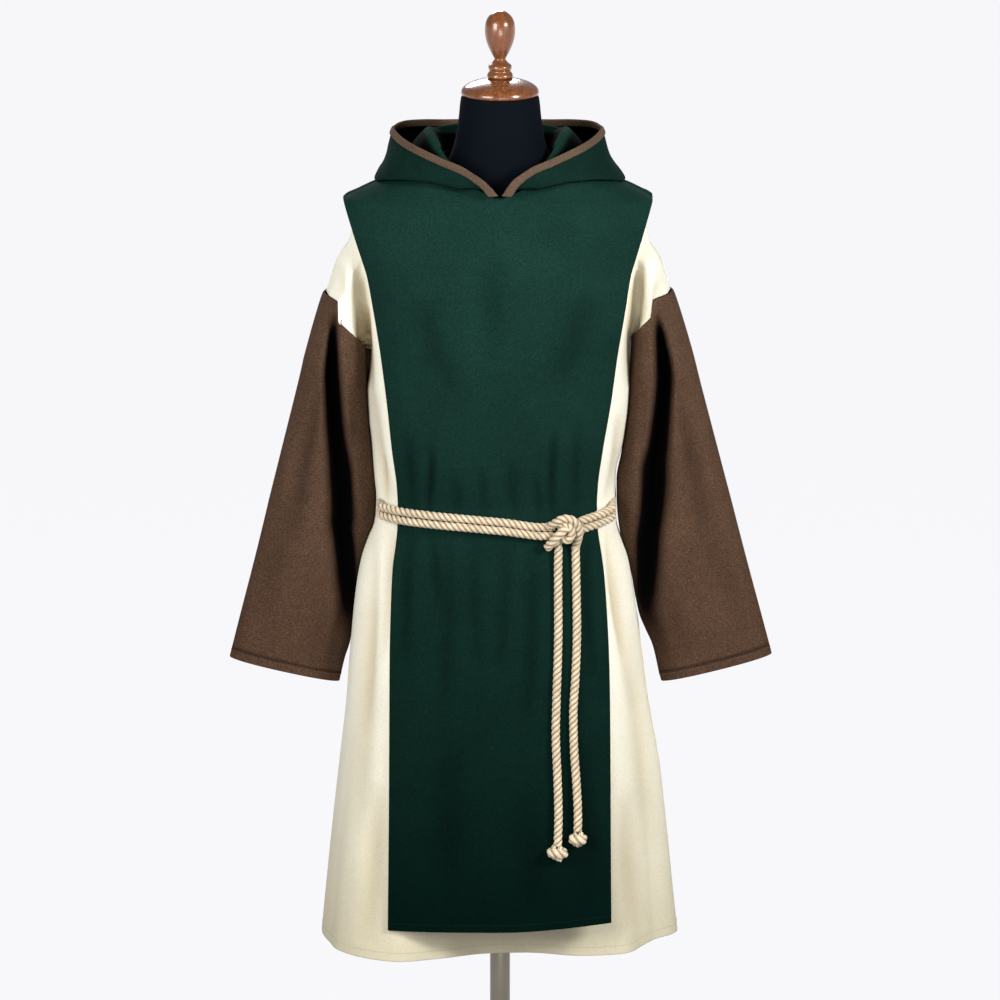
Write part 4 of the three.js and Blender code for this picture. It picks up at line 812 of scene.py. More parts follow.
def hood_half(sign, stations, steps):
    """For each angle a Catmull-Rom curve from the neck seam through the hood's lines. In the strip
    at the front the cloth lies single from the seam to the edge. The other results are the hollow
    values of the outer and inner faces, painted shade: full inside the hood, except on the inner
    face near the crest, and light on the outer panels."""
    angle = hood_angles(stations)
    fold, edge = hood_line("fold", angle), hood_line("edge", angle)
    cloth_edge = edge + below_edge(angle) * (binding_width(angle) - 2)[:, None]
    turn = np.radians(angle)
    outward = np.stack([np.sin(turn), -np.cos(turn), 0 * turn], axis=-1)
    middle = mix(fold, cloth_edge, 0.5) + outward * table(HOOD_BOW, angle)[:, None]
    inner = [hood_line(name, angle) for name in ("crest", "roll", "bag")]
    lines = [hood_seam(angle), *inner, fold, middle, cloth_edge]
    past_v = np.clip((angle - HOOD_START) / (HOOD_STRIP - HOOD_START), 0, 1)
    strip = (1 - past_v**1.5)[:, None]
    straight = [mix(lines[0], lines[-1], k / HOOD_SPANS) for k in range(HOOD_SPANS + 1)]
    p = np.stack([mix(line, direct, strip) for line, direct in zip(lines, straight)])
    p = np.concatenate([2 * p[:1] - p[1:2], p, 2 * p[-1:] - p[-2:-1]])
    place = np.linspace(0, HOOD_SPANS, steps)
    k = np.minimum(place.astype(int), HOOD_SPANS - 1)
    t = (place - k)[:, None, None]
    a, b, c, d = p[k], p[k + 1], p[k + 2], p[k + 3]
    square, cube = 2 * a - 5 * b + 4 * c - d, 3 * b - a - 3 * c + d
    grid = 0.5 * (2 * b + (c - a) * t + square * t**2 + cube * t**3)
    grid = behind_the_scapular(np.swapaxes(grid, 0, 1), angle)
    grid[-1, :, 0] = SEAM_GAP / 2
    grid[..., 0] *= sign
    # Painted shade on the hood's inner and outer faces.
    inside = 1 - eased(0.6, 0.9, place) * (1 - eased(1.5, 2.1, place))
    outside = np.maximum(1 - eased(3.2, 3.9, place), 0.28)
    shape = grid.shape[:2]
    return swayed(grid), np.broadcast_to(outside, shape), np.broadcast_to(inside, shape)


HOOD_CREASES = {
    "left": [(-134, 1512, -108, 1490, 3, 6, 2), (-160, 1508, -166, 1480, 2, 6, 1.5)],
    "right": [(140, 1512, 118, 1489, -3, 7, 2), (158, 1512, 168, 1482, -2, 6, 1.5)],
}
hoods = {}
for name, sign in (("left", -1), ("right", 1)):
    half_grid, outside, inside = hood_half(sign, 130, 100)
    pressed = creased(half_grid, HOOD_CREASES[name], False, -sign, outside)
    hoods[name] = shell(f"wool_hood_{name}", pressed, False, -sign, inside)

# %% [markdown]
# The binding is a bias tape folded over the face edge and stitched down, so in section it is a
# flat loop, a little thicker than the cloth inside it. It is carried round the whole edge as one
# ring of sections, from the V at the front round the back to the V again.

# %% Binding
def carried(name, sections, hollow=0):
    """A closed skin over sections of equal count, filled at both ends by a fan to their middle. Its
    map goes round each section and along the run."""
    rows, columns = sections.shape[:2]
    faces = grid_faces(rows, columns, closed=True)
    points = sections.reshape(-1, 3)
    around = np.tile(np.linspace(0, 1, columns, endpoint=False), rows)
    run = np.linalg.norm(np.diff(sections.mean(axis=1), axis=0), axis=1)
    along = np.repeat(np.concatenate([[0], np.cumsum(run)]) * MM, columns)
    i = np.arange(columns)
    ahead = (i + 1) % columns
    count = rows * columns
    first, last = np.full(columns, count), np.full(columns, count + 1)
    lid = count - columns
    start_fan = np.stack([ahead, i, first, first], axis=1)
    end_fan = np.stack([lid + i, lid + ahead, last, last], axis=1)
    faces = np.vstack([faces, start_fan, end_fan])
    points = np.vstack([points, sections[0].mean(axis=0), sections[-1].mean(axis=0)])
    uv = np.vstack([np.stack([around, along], axis=1), [[0.5, 0], [0.5, along[-1]]]])
    a, b, c = (points[faces[:, k]] for k in range(3))
    if np.sum(a * np.cross(b, c)) < 0:  # inside out
        faces = faces[:, ::-1]
    corners = [tuple(dict.fromkeys(face)) for face in faces.tolist()]
    deep = np.append(np.tile(np.broadcast_to(hollow, columns), rows), [0, 0])
    piece = linked(name, mapped_mesh(name, points, corners, uv, deep))
    print(f"{name}: {count * 2} triangles, {run.sum() * MM:.3f} m long")
    return piece


def binding_half(stations):
    """Flat rounded sections from the edge line into the cloth, from the V round to the back. Each
    is a superellipse of power 4."""
    angle = hood_angles(stations)
    edge, inward = hood_line("edge", angle), below_edge(angle)
    inward[-1, 0] = edge[-1, 0] = 0
    out = unit(np.cross(np.gradient(edge, axis=0), inward))
    turn = np.linspace(0, 2 * math.pi, 28, endpoint=False)
    flat, tall = np.cos(turn), np.sin(turn)
    a = (0.5 - 0.5 * np.sign(flat) * np.abs(flat) ** 0.5) * binding_width(angle)[:, None]
    b = 0.5 * np.sign(tall) * np.abs(tall) ** 0.5 * (CLOTH + BINDING_SPARE) + 0 * a
    return edge[:, None] + inward[:, None] * a[..., None] + out[:, None] * b[..., None]


half = binding_half(170)
mirrored = half[-2::-1] * np.array([-1.0, 1.0, 1.0])
binding = carried("binding_tape", swayed(np.concatenate([half, mirrored])))

# %% [markdown]
# ## Rope belt
#
# Laid rope is three strands twisted round each other. Its outline in section is a circle with a
# notch between each two strands, and turning that section steadily along the path draws the
# grooves of the lay. Separate tubes would look the same from outside and cost four times the faces.

# %% Rope section
ROPE_LAY = 0.0245  # length in which a strand goes once round
STRANDS = 3
STRAND_SIDES = 10


def rope_skin(name, path, diameter):
    """Section radius R (0.75 + 0.25 |cos(n a / 2)|^0.7) for n strands at an angle a from a strand's
    middle. The section turns once in each length of lay. It is carried without twist: each side
    vector is the last one, laid square to the new direction."""
    path = np.asarray(path, float) / MM
    tangent = unit(np.gradient(path, axis=0))
    side = np.zeros_like(path)
    side[0] = unit(np.cross(tangent[0], [0.3, 0.9, 0.31]))
    for k in range(1, len(path)):
        v = side[k - 1] - tangent[k] * np.dot(side[k - 1], tangent[k])
        side[k] = v / np.linalg.norm(v)
    other = np.cross(tangent, side)
    run = np.concatenate([[0], np.cumsum(np.linalg.norm(np.diff(path, axis=0), axis=1))])
    angle = np.linspace(0, 2 * math.pi, STRAND_SIDES * STRANDS, endpoint=False)
    swell = np.abs(np.cos(STRANDS * angle / 2))
    radius = diameter / MM / 2 * (0.75 + 0.25 * swell**0.7)
    turn = angle + (2 * math.pi * run / (ROPE_LAY / MM))[:, None]
    ring = np.cos(turn)[..., None] * side[:, None] + np.sin(turn)[..., None] * other[:, None]
    sections = path[:, None] + ring * radius[:, None]
    # hollow paints shade in the grooves between the strands.
    return carried(name, sections, hollow=np.clip(1.25 - 1.5 * swell, 0, 1))


# %% [markdown]
# The belt goes twice round the waist. It is drawn in over the tunic and lies on the scapular in
# front and behind, and it dips towards the knot at the wearer's left.

# %% Belt turns
# angle round the waist as at the hem, height of the belt's middle
BELT = np.array([
    (0, 1013), (20, 1012.5), (41, 1010), (60, 1008), (78, 1005), (90, 1001), (98, 996.5),
    (106, 993), (118, 992), (131, 1000), (145, 1005), (160, 1011), (180, 1014), (230, 1013),
    (270, 1012), (320, 1012.5), (360, 1013),
])
BELT_SIDES = (166.4, 156.6)  # the cloth folds over the belt outside these
HALF_ROPE = 6.0
BELT_CLEAR = 0.4  # between rope and cloth
LOWER_CLEAR = 1.5  # how much further out the lower turn lies, in front and behind


def belt_path(turn, start, end):
    """A superellipse round the waist, clear of the cloth by half the rope and wider where the
    scapular lies under it, and held in at both sides. turn is 1 for the upper one, -1 for the
    lower one."""
    angle = np.linspace(start, end, 90) % 360
    z = smooth(BELT[:, 0], BELT[:, 1], angle) + turn * HALF_ROPE
    across, sideways = -np.cos(np.radians(angle)), np.abs(np.sin(np.radians(angle)))
    levels = [z - HALF_ROPE, z, z + HALF_ROPE]
    left, right, front, back = (
        np.max([tunic_size(level, column) for level in levels], axis=0) for column in (1, 2, 3, 4)
    )
    on_scapular = np.clip((sideways - 0.1) / 0.3, 0, 1)
    clear = HALF_ROPE + BELT_CLEAR + (LOWER_CLEAR * sideways if turn < 0 else 0)
    reach = np.where(across < 0, left, right) + clear + 3.0 * on_scapular
    depth = np.where(angle <= 180, front, back) + clear + SCAPULAR_LIFT * on_scapular
    power = 2 / ROUNDNESS
    x = np.clip(reach * np.sign(across) * np.abs(across) ** power, -BELT_SIDES[0], BELT_SIDES[1])
    y = depth * sideways**power * np.where(angle <= 180, -1, 1)
    return np.stack([x, y, z], axis=1) * MM


upper_path, _ = curve_through(belt_path(1, 127, 473), 0.0015)
lower_path, _ = curve_through(belt_path(-1, 127, 472), 0.0015)
belt_upper = rope_skin("rope_belt_upper", upper_path, ROPE_DIAMETER)
belt_lower = rope_skin("rope_belt_lower", lower_path, ROPE_DIAMETER)

# %% [markdown]
# The knot is a reef of the two ends over both turns: one strand arches over the top and comes down
# on the right, a fat one lies slantwise across the front, and a bight shows between them.

# %% Belt knot
KNOT = np.array([90.0, -121.8, 993.0])
LOBE_DIAMETER = 0.0126  # the fat strand, which the others press flat
# sideways, outwards and upwards from the knot's middle
KNOT_STRETCHES = {
    "arch": [
        (-23, -6, 7), (-18, 0, 10), (-12, 4, 14.5), (-6, 6, 18.5), (2, 6.5, 20.4), (10, 6, 18.4),
        (16, 4, 13.4), (19.6, 1, 6.2), (20.4, -2, -2), (19, -7, -11), (16.6, -12, -19),
        (15.4, -15.4, -26),
    ],
    "bight": [
        (-9, -2, 9), (-4, 1, 11.5), (2, 3, 11.6), (7.4, 4, 8.4), (9.8, 4, 2), (9, 4, -5),
        (5, 4, -10), (-0.6, 2, -9.5), (-6, -2, -6),
    ],
    "lobe": [
        (-23.4, 0, -22), (-21, 4, -17.6), (-17, 8, -12.4), (-12.3, 10, -6.4), (-7, 10, -1),
        (-1.6, 8, 3.4), (3.4, 3, 6), (7, -3, 6),
    ],
    "stub": [(-5, -3, -2), (-8, -2, -9), (-9.4, -3, -16), (-8.6, -6, -27)],
}
knot_parts = []
for part, stretch in KNOT_STRETCHES.items():
    route = (KNOT + np.array(stretch) * (1, -1, 1)) * MM
    path, _ = curve_through(route, 0.0012)
    thick = LOBE_DIAMETER if part == "lobe" else ROPE_DIAMETER
    knot_parts.append(rope_skin(f"rope_knot_{part}", path, thick))


def joined(name, parts):
    """The parts' meshes as one piece."""
    bpy.ops.object.select_all(action="DESELECT")
    for part in parts:
        part.select_set(True)
    bpy.context.view_layer.objects.active = parts[0]
    bpy.ops.object.join()
    parts[0].name = name
    return parts[0]


belt_knot = joined("rope_knot", knot_parts)

# %% [markdown]
# Each tail is a rope along its route. Its end is tied in an overhand knot drawn tight, which shows
# as two fat turns with one slanting groove between them.

# %% Tails and end knots
tail_left = rope_skin("rope_tail_left", tail_left_path, ROPE_DIAMETER)
tail_right = rope_skin("rope_tail_right", tail_right_path, ROPE_DIAMETER)


def end_knot(name, middle, wide, tall, deep, lean):
    """A helix of one and a half thick turns, leaning sideways, with both ends tucked inwards."""
    thick = 7.2  # half the rope, which swells in the knot
    t = np.linspace(0, 1, 30)
    turn = 2 * math.pi * (1.5 * t + 0.55)
    spread = np.minimum(1, 0.15 + 4 * np.minimum(t, 1 - t))
    size = spread * mix(1.0, 0.8, t)
    across = (wide - thick) * size * np.cos(turn)
    out = (deep - thick) * size * np.sin(turn) - 5 * (1 - spread)
    up = mix(tall - thick, thick - tall, t) - across * math.tan(lean)
    up = up * mix(0.65, 1, spread)
    path = np.stack([middle[0] + across, middle[1] - out, middle[2] + up], axis=1) * MM
    fine, _ = curve_through(path, 0.0011)
    return rope_skin(name, fine, 2 * thick * MM)


left_end, right_end = tail_left_path[-1] / MM, tail_right_path[-1] / MM
tail_knot_left = end_knot(
    "rope_end_knot_left", (79.8, left_end[1] - 5, 546.3),
    wide=16.2, tall=14.4, deep=12.6, lean=0.36,
)
tail_knot_right = end_knot(
    "rope_end_knot_right", (108.4, right_end[1] - 4.5, 564.8),
    wide=14.2, tall=15.2, deep=12.4, lean=0.42,
)

# %% [markdown]
# ## Dress form
#
# The form under the habit is a padded body without head or limbs, covered in a tight dark knit.
# Only its neck shows. On top sit a turned wooden cap and a finial, and it stands on a steel pole
# with a collar and a round base. Turned pieces are a profile swept once round the axis.

# %% Dress form
BASE_TOP, POLE_TOP, NECK_TOP, CAP_TOP = 12.3, 734.7, 1590.3, 1613.8
# z, half-width, half-depth
FORM = np.array([
    (735, 150, 96), (752, 168, 110), (850, 168, 110), (930, 154, 103), (1005, 138, 92),
    (1100, 151, 106), (1230, 167, 118), (1330, 184, 113), (1400, 193, 99), (1428, 187, 87),
    (1446, 164, 76), (1463, 119, 68), (1476, 92, 65), (1494, 75, 62), (1519, 64.8, 60),
    (1532, 61.5, 59.4), (1559, 57.6, 57.2), (1581, 55.4, 55.2), (1587, 54.4, 54.4),
    (1590, 52.6, 52.6),
])


def form_sections():
    """Superellipses in the body that become circles in the neck. Four seams of the cover run down
    it as shallow grooves."""
    z = np.concatenate([np.linspace(735, 1440, 90), np.linspace(1445, 1590, 70)])[:, None]
    turn = np.linspace(0, 2 * math.pi, 144, endpoint=False)[None, :]
    power = 2 / mix(ROUNDNESS, 2.0, np.clip((z - 1440) / 60, 0, 1))
    c, s = np.cos(turn), np.sin(turn)
    quarter = (turn / (math.pi / 2)) % 1
    seam = 0.5 * np.exp(-((np.abs(quarter - 0.5) * 2 - 1) / 0.02) ** 2)
    half = smooth(FORM[:, 0], FORM[:, 1], z) - seam
    depth = smooth(FORM[:, 0], FORM[:, 2], z) - seam
    x = half * np.sign(c) * np.abs(c) ** power
    y = depth * np.sign(s) * np.abs(s) ** power
    return np.stack([x, y, z + 0 * x], axis=-1)


form_torso = carried("form_cover", form_sections())


def turned(name, profile, sides=96):
    """The profile's radius carried round the vertical axis at its height."""
    profile = np.asarray(profile, float)
    turn = np.linspace(0, 2 * math.pi, sides, endpoint=False)
    ring = np.stack([np.cos(turn), np.sin(turn)], axis=1)
    flat = profile[:, 0][:, None, None] * ring[None]
    height = np.broadcast_to(profile[:, 1][:, None, None], (*flat.shape[:2], 1))
    return carried(name, np.concatenate([flat, height], axis=-1))


def rounded(profile, spacing):
    """The profile with its corners eased by a curve through its points."""
    flat = [(r * MM, 0, z * MM) for r, z in profile]
    fine, _ = curve_through(flat, spacing * MM)
    return np.stack([np.maximum(fine[:, 0], 0), fine[:, 2]], axis=1) / MM


# radius and height above the neck
CAP = [
    (0.5, 0), (30, 0), (52.4, 0), (54, 1.4), (54.6, 3.6), (54.2, 6), (52.9, 8.8), (50.2, 12),
    (46, 15), (40, 18), (32, 20.7), (24, 22.6), (12, 24.2), (0.5, 24.6),
]
neck_cap = turned("wood_neck_cap", rounded(CAP, 0.8) + (0, NECK_TOP))
# radius and height above the cap
FINIAL = [
    (0.5, 0), (14.2, 0), (16.6, 0.8), (17.8, 2.2), (18.1, 4), (17.4, 6.4), (15.8, 8.8),
    (14.9, 10.3), (14.8, 11.4), (15.6, 12.6), (16.3, 14.6), (16.4, 16.6), (15.8, 18.6),
    (13.6, 20.4), (11.4, 22.2), (9.3, 24.6), (8.1, 26.6), (7.9, 27.8), (8.8, 29.6), (12.1, 35.7),
    (15.5, 43), (18.4, 50.3), (20.7, 60.2), (21.2, 70), (19.9, 79.6), (16.2, 87), (10.9, 92.2),
    (5.4, 95), (0.5, 95.8),
]
finial = turned("wood_finial", rounded(FINIAL, 0.7) + (0, CAP_TOP), 80)
# radius and height above the base
COLLAR = [
    (14.3, 0), (28, 0), (29, 1), (29, 7.4), (28.4, 8.4), (21.6, 17.2), (21, 18.6), (20, 33),
    (19, 34), (14.3, 34),
]
pole_collar = turned("steel_collar", np.array(COLLAR) + (0, BASE_TOP))
pole = turned("steel_pole", [(0.5, BASE_TOP), (14, BASE_TOP), (14, POLE_TOP), (0.5, POLE_TOP)])
BASE = [
    (0.5, 0), (188.6, 0), (190, 1.2), (190, 8), (189.2, 10), (187.4, 11.4), (185, 12), (0.5, 12),
]
base = turned("steel_base", BASE, 160)

# %% [markdown]
# ## Stitching
#
# Hems are turned up and sewn down with one line of stitches in a matching thread, a finger's
# breadth above the edge. A stitch is a short length of thread, so each line is one mesh of small
# six-sided capsules that follow the cloth.

# %% Topstitches
def stitches(name, line, normal, length=3.2, gap=1.5, radius=0.42):
    """Capsules along a line of points: each has four rings of six points, narrow at its ends."""
    run = np.concatenate([[0], np.cumsum(np.linalg.norm(np.diff(line, axis=0), axis=1))])
    start = np.arange(0.5, run[-1] - length, length + gap)
    t = np.array([0.0, 0.25, 0.75, 1.0])
    size = np.array([0.35, 1.0, 1.0, 0.35]) * radius
    at = start[:, None] + t * length
    centre = np.stack([np.interp(at, run, line[:, k]) for k in range(3)], axis=-1)
    out = unit(np.stack([np.interp(at, run, normal[:, k]) for k in range(3)], axis=-1))
    ahead = unit(centre[:, -1:] - centre[:, :1])
    side = np.cross(out, ahead)
    turn = np.linspace(0, 2 * math.pi, 6, endpoint=False)
    ring = np.cos(turn)[:, None] * side[:, :, None] + np.sin(turn)[:, None] * out[:, :, None]
    points = centre[:, :, None] + out[:, :, None] * 0.1 + ring * size[None, :, None, None]
    single = grid_faces(4, 6, closed=True)
    lids = np.array([[5, 4, 3, 2, 1, 0], [18, 19, 20, 21, 22, 23]])
    shift = np.arange(len(start)) * 24
    faces = (single[None] + shift[:, None, None]).reshape(-1, 4).tolist()
    faces += (lids[None] + shift[:, None, None]).reshape(-1, 6).tolist()
    print(f"{name}: {len(start)} stitches")
    return linked(name, bare_mesh(name, points.reshape(-1, 3), faces))


def hem_line(grid, height, closed, side, first):
    """The points a given way up every column of a grid, with the cloth's normals there. first says
    that the hem is the grid's first row, otherwise it is the last."""
    rows = grid if first else grid[::-1]
    normal = facing(grid, closed, side)
    normal = normal if first else normal[::-1]
    along = np.linalg.norm(np.diff(rows, axis=0, prepend=rows[:1]), axis=2).cumsum(axis=0)
    j = np.argmax(along > height, axis=0)
    i = np.arange(rows.shape[1])
    t = ((height - along[j - 1, i]) / (along[j, i] - along[j - 1, i]))[:, None]
    line = mix(rows[j - 1, i], rows[j, i], t)
    out = mix(normal[j - 1, i], normal[j, i], t)
    if closed:
        line, out = np.vstack([line, line[:1]]), np.vstack([out, out[:1]])
    return line, unit(out)


# panel, its grid, height of the stitches, closed round, side, hem at the first row
HEMS = [
    ("tunic_front", tunic_front_grid, 12, False, 1, True),
    ("tunic_back", tunic_back_grid, 12, False, -1, True),
    ("scapular_front", scapular_front_grid, 10, False, 1, True),
    ("scapular_back", scapular_back_grid, 10, False, -1, True),
    ("sleeve_left", sleeve_grids["left"], 10, True, -1, False),
    ("sleeve_right", sleeve_grids["right"], 10, True, 1, False),
]
threads = {}
for panel, (grid, _), height, closed, side, first in HEMS:
    line, out = hem_line(grid, height, closed, side, first)
    threads[panel] = stitches(f"thread_{panel}", line, out)

# %% [markdown]
# ## Materials
#
# Felted wool scatters light off a nap of short fibres, so it is rough and has no clear highlight.
# The colour of dyed wool is never even: fibres differ, which shows as fine flecks, and the cloth
# clouds slightly over a hand's breadth. Object coordinates keep those patterns the same size on
# every piece. Little light comes out of a deep fold, so the colour is also darkened with the
# hollow value that each point of a piece carries, as painted shade. Towards the hem it is
# darkened too, as painted shade for the light that falls off lower down.

# %% Node helpers
def new_material(name):
    """A material, its nodes and links, its shader and its object coordinates."""
    material = bpy.data.materials.new(name)
    material.use_nodes = True
    nodes = material.node_tree.nodes
    place = nodes.new("ShaderNodeTexCoord").outputs["Object"]
    return material, nodes, material.node_tree.links, nodes["Principled BSDF"], place


def node(nodes, kind, **settings):
    """A node whose sockets and properties take the settings of the same name."""
    made = nodes.new(kind)
    for key, value in settings.items():
        if key in made.inputs:
            made.inputs[key].default_value = value
        else:
            setattr(made, key, value)
    return made


def feed(links, socket, value):
    """Link a socket to another, or set it to a number or a colour."""
    if hasattr(value, "links"):
        links.new(value, socket)
    else:
        socket.default_value = (*value, 1) if isinstance(value, tuple) else value


def noise(nodes, links, place, **settings):
    """Noise over the given coordinates."""
    made = node(nodes, "ShaderNodeTexNoise", **settings)
    links.new(place, made.inputs["Vector"])
    return made.outputs["Fac"]


def remapped(nodes, links, place, **settings):
    """Coordinates that are moved or scaled."""
    made = node(nodes, "ShaderNodeMapping", **settings)
    links.new(place, made.inputs["Vector"])
    return made.outputs["Vector"]


def maths(nodes, links, operation, *values):
    """A Math node over sockets or plain numbers."""
    made = node(nodes, "ShaderNodeMath", operation=operation)
    for socket, value in zip(made.inputs, values):
        feed(links, socket, value)
    return made.outputs[0]


def ramp(nodes, links, source, *stops):
    """A colour ramp with (place, (r, g, b)) stops."""
    made = nodes.new("ShaderNodeValToRGB")
    elements = made.color_ramp.elements
    while len(elements) < len(stops):
        elements.new(0.5)
    for element, (place, colour) in zip(elements, stops):
        element.position = place
        element.color = (*colour, 1)
    links.new(source, made.inputs["Fac"])
    return made.outputs["Color"]


def blend(nodes, links, how, share, low, high):
    """A colour Mix node; share, low and high are sockets or plain values."""
    made = nodes.new("ShaderNodeMix")
    made.data_type = "RGBA"
    made.blend_type = how
    for index, value in ((0, share), (6, low), (7, high)):
        feed(links, made.inputs[index], value)
    return made.outputs[2]


def tinted(nodes, links, colour, tint):
    """The colour multiplied by a tint."""
    return blend(nodes, links, "MULTIPLY", 1.0, colour, tint)


def bumped(nodes, links, shader, height, strength, distance):
    """A bump from the height on the shader's normal."""
    bump = node(nodes, "ShaderNodeBump", Strength=strength, Distance=distance)
    links.new(height, bump.inputs["Height"])
    links.new(bump.outputs["Normal"], shader.inputs["Normal"])


def wool(name, colours, deep, flecks=(), fleck_share=0.0, fibre=1500, cloud=0.12, sheen=0.0,
         lower=None, fade=(0.45, 1.35)):
    """Felt: fine fibre noise drives the three colours through a ramp, coarse noise clouds it, and
    the same fibre noise with a longer one makes the bump. Deep in a fold it is multiplied by deep,
    as painted shade. lower is painted shade at the hem, for the light falling off lower down, and
    it is gone where the fade ends."""
    material, nodes, links, shader, place = new_material(name)
    fibres = noise(nodes, links, place, Scale=fibre, Detail=4.0, Roughness=0.75)
    tufts = noise(nodes, links, place, Scale=fibre * 0.3, Detail=5.0, Roughness=0.7)
    clouds = noise(nodes, links, place, Scale=14.0, Detail=3.0, Roughness=0.6)
    felt = maths(nodes, links, "MULTIPLY", maths(nodes, links, "ADD", fibres, tufts), 0.5)
    colour = ramp(nodes, links, felt, *zip((0.36, 0.5, 0.64), colours))
    for k, fleck in enumerate(flecks):
        shifted = remapped(nodes, links, place, Location=(k * 3.7, k * 1.3, 5.1 * k))
        scale = fibre * (0.42 + 0.11 * k)
        spots = noise(nodes, links, shifted, Scale=scale, Detail=2.0, Roughness=0.5)
        mask = ramp(nodes, links, spots, (0.6, (0, 0, 0)), (0.7, (fleck_share,) * 3))
        colour = blend(nodes, links, "MIX", mask, colour, fleck)
    shade = ramp(nodes, links, clouds, (0.3, (1 - cloud,) * 3), (0.7, (1 + cloud,) * 3))
    colour = tinted(nodes, links, colour, shade)
    # Painted shade towards the hem, for the light falling off lower down.
    if lower is not None:
        apart = nodes.new("ShaderNodeSeparateXYZ")
        links.new(place, apart.inputs["Vector"])
        rise = nodes.new("ShaderNodeMapRange")
        rise.inputs["From Min"].default_value, rise.inputs["From Max"].default_value = fade
        links.new(apart.outputs["Z"], rise.inputs["Value"])
        falloff_shade = ramp(nodes, links, rise.outputs["Result"], (0.0, lower), (1.0, (1, 1, 1)))
        colour = tinted(nodes, links, colour, falloff_shade)
    # Painted shade: deep in a fold, and on inner faces, the colour is multiplied down to deep and
    # then to a tenth of it.
    in_fold = node(nodes, "ShaderNodeAttribute", attribute_name="hollow").outputs["Fac"]
    black = tuple(0.1 * part for part in deep)
    shadow = ramp(nodes, links, in_fold, (0.0, (1, 1, 1)), (CREASE_FLOOR, deep), (1.0, black))
    links.new(tinted(nodes, links, colour, shadow), shader.inputs["Base Color"])
    shader.inputs["Roughness"].default_value = 0.92
    shader.inputs["Specular IOR Level"].default_value = 0.03
    shader.inputs["Sheen Weight"].default_value = sheen
    shader.inputs["Sheen Roughness"].default_value = 0.5
    bumped(nodes, links, shader, felt, 0.55, 0.0006)
    return material


# %% Wools
# deep is the tint of the painted shade in folds, lower that of the painted shade towards the hem.
green_wool = wool(
    "felted green wool",
    ((0.0027, 0.0138, 0.0100), (0.0056, 0.0255, 0.0186), (0.0118, 0.0430, 0.0325)),
    deep=(0.1, 0.1, 0.1), cloud=0.1, lower=(0.03, 0.19, 0.18),
)
brown_wool = wool(
    "heathered brown wool",
    ((0.026, 0.0125, 0.0075), (0.070, 0.0395, 0.0240), (0.135, 0.083, 0.054)),
    deep=(0.03, 0.02, 0.016), lower=(0.64, 0.60, 0.58),
    flecks=((0.15, 0.035, 0.022), (0.07, 0.066, 0.03), (0.21, 0.15, 0.11)), fleck_share=0.55,
)
cream_wool = wool(
    "felted cream wool",
    ((0.68, 0.64, 0.50), (0.82, 0.79, 0.66), (0.87, 0.85, 0.745)),
    deep=(0.58, 0.47, 0.30), sheen=0.05, cloud=0.03, lower=(0.62, 0.585, 0.50), fade=(0.40, 0.80),
)
binding_wool = wool(
    "brown binding tape",
    ((0.050, 0.029, 0.0175), (0.097, 0.063, 0.041), (0.15, 0.108, 0.078)),
    deep=(1, 1, 1), fibre=1900,
)

# %% [markdown]
# The rope's strands are bundles of yarn laid the other way, so fine ridges cross each strand at a
# slant. The map on the rope gives the share of the way round it and the run along it, and a sine
# of their difference draws the yarns.

# %% Rope material
YARNS_ROUND = 15
YARNS_A_METRE = 330


def rope_material():
    """Yarn ridges: sin(2 pi (15 u - 330 v)) over the rope's map, broken up by noise. The colour
    follows the same height, so besides its random fibre tone it is painted lighter on the yarn
    ridges and darker between them, and painted shade darkens the grooves between the strands."""
    material, nodes, links, shader, place = new_material("laid tan rope")
    apart = nodes.new("ShaderNodeSeparateXYZ")
    links.new(nodes.new("ShaderNodeTexCoord").outputs["UV"], apart.inputs["Vector"])
    around = maths(nodes, links, "MULTIPLY", apart.outputs["X"], 2 * math.pi * YARNS_ROUND)
    along = maths(nodes, links, "MULTIPLY", apart.outputs["Y"], 2 * math.pi * YARNS_A_METRE)
    wave = maths(nodes, links, "SINE", maths(nodes, links, "SUBTRACT", around, along))
    fibres = noise(nodes, links, place, Scale=1400.0, Detail=4.0, Roughness=0.7)
    uneven = noise(nodes, links, place, Scale=60.0, Detail=2.0)
    height = maths(nodes, links, "MULTIPLY_ADD", wave, 0.1, fibres)
    # Random fibre tone, with painted light on the yarn ridges and painted shade between them.
    colour = ramp(
        nodes, links, height,
        (0.3, (0.35, 0.27, 0.165)), (0.5, (0.68, 0.585, 0.43)), (0.7, (0.90, 0.82, 0.67)),
    )
    shade = ramp(nodes, links, uneven, (0.35, (0.9, 0.88, 0.86)), (0.65, (1.06, 1.05, 1.04)))
    colour = tinted(nodes, links, colour, shade)
    # Painted shade in the grooves between the strands.
    between = node(nodes, "ShaderNodeAttribute", attribute_name="hollow").outputs["Fac"]
    groove = ramp(
        nodes, links, between,
        (0.0, (1, 1, 1)), (0.35, (0.85, 0.79, 0.69)), (1.0, (0.42, 0.31, 0.19)),
    )
    links.new(tinted(nodes, links, colour, groove), shader.inputs["Base Color"])
    shader.inputs["Roughness"].default_value = 0.82
    shader.inputs["Specular IOR Level"].default_value = 0.2
    shader.inputs["Sheen Weight"].default_value = 0.12
    bumped(nodes, links, shader, height, 0.8, 0.0009)
    return material


rope_tan = rope_material()

# %% [markdown]
# The cap and finial are turned from one hardwood and varnished. The grain is noise stretched
# along it, and a clear coat gives the sharp reflections over it. Brushed steel gets its stroke in
# the same way, and the form's knit and the thread are plain fine textures.

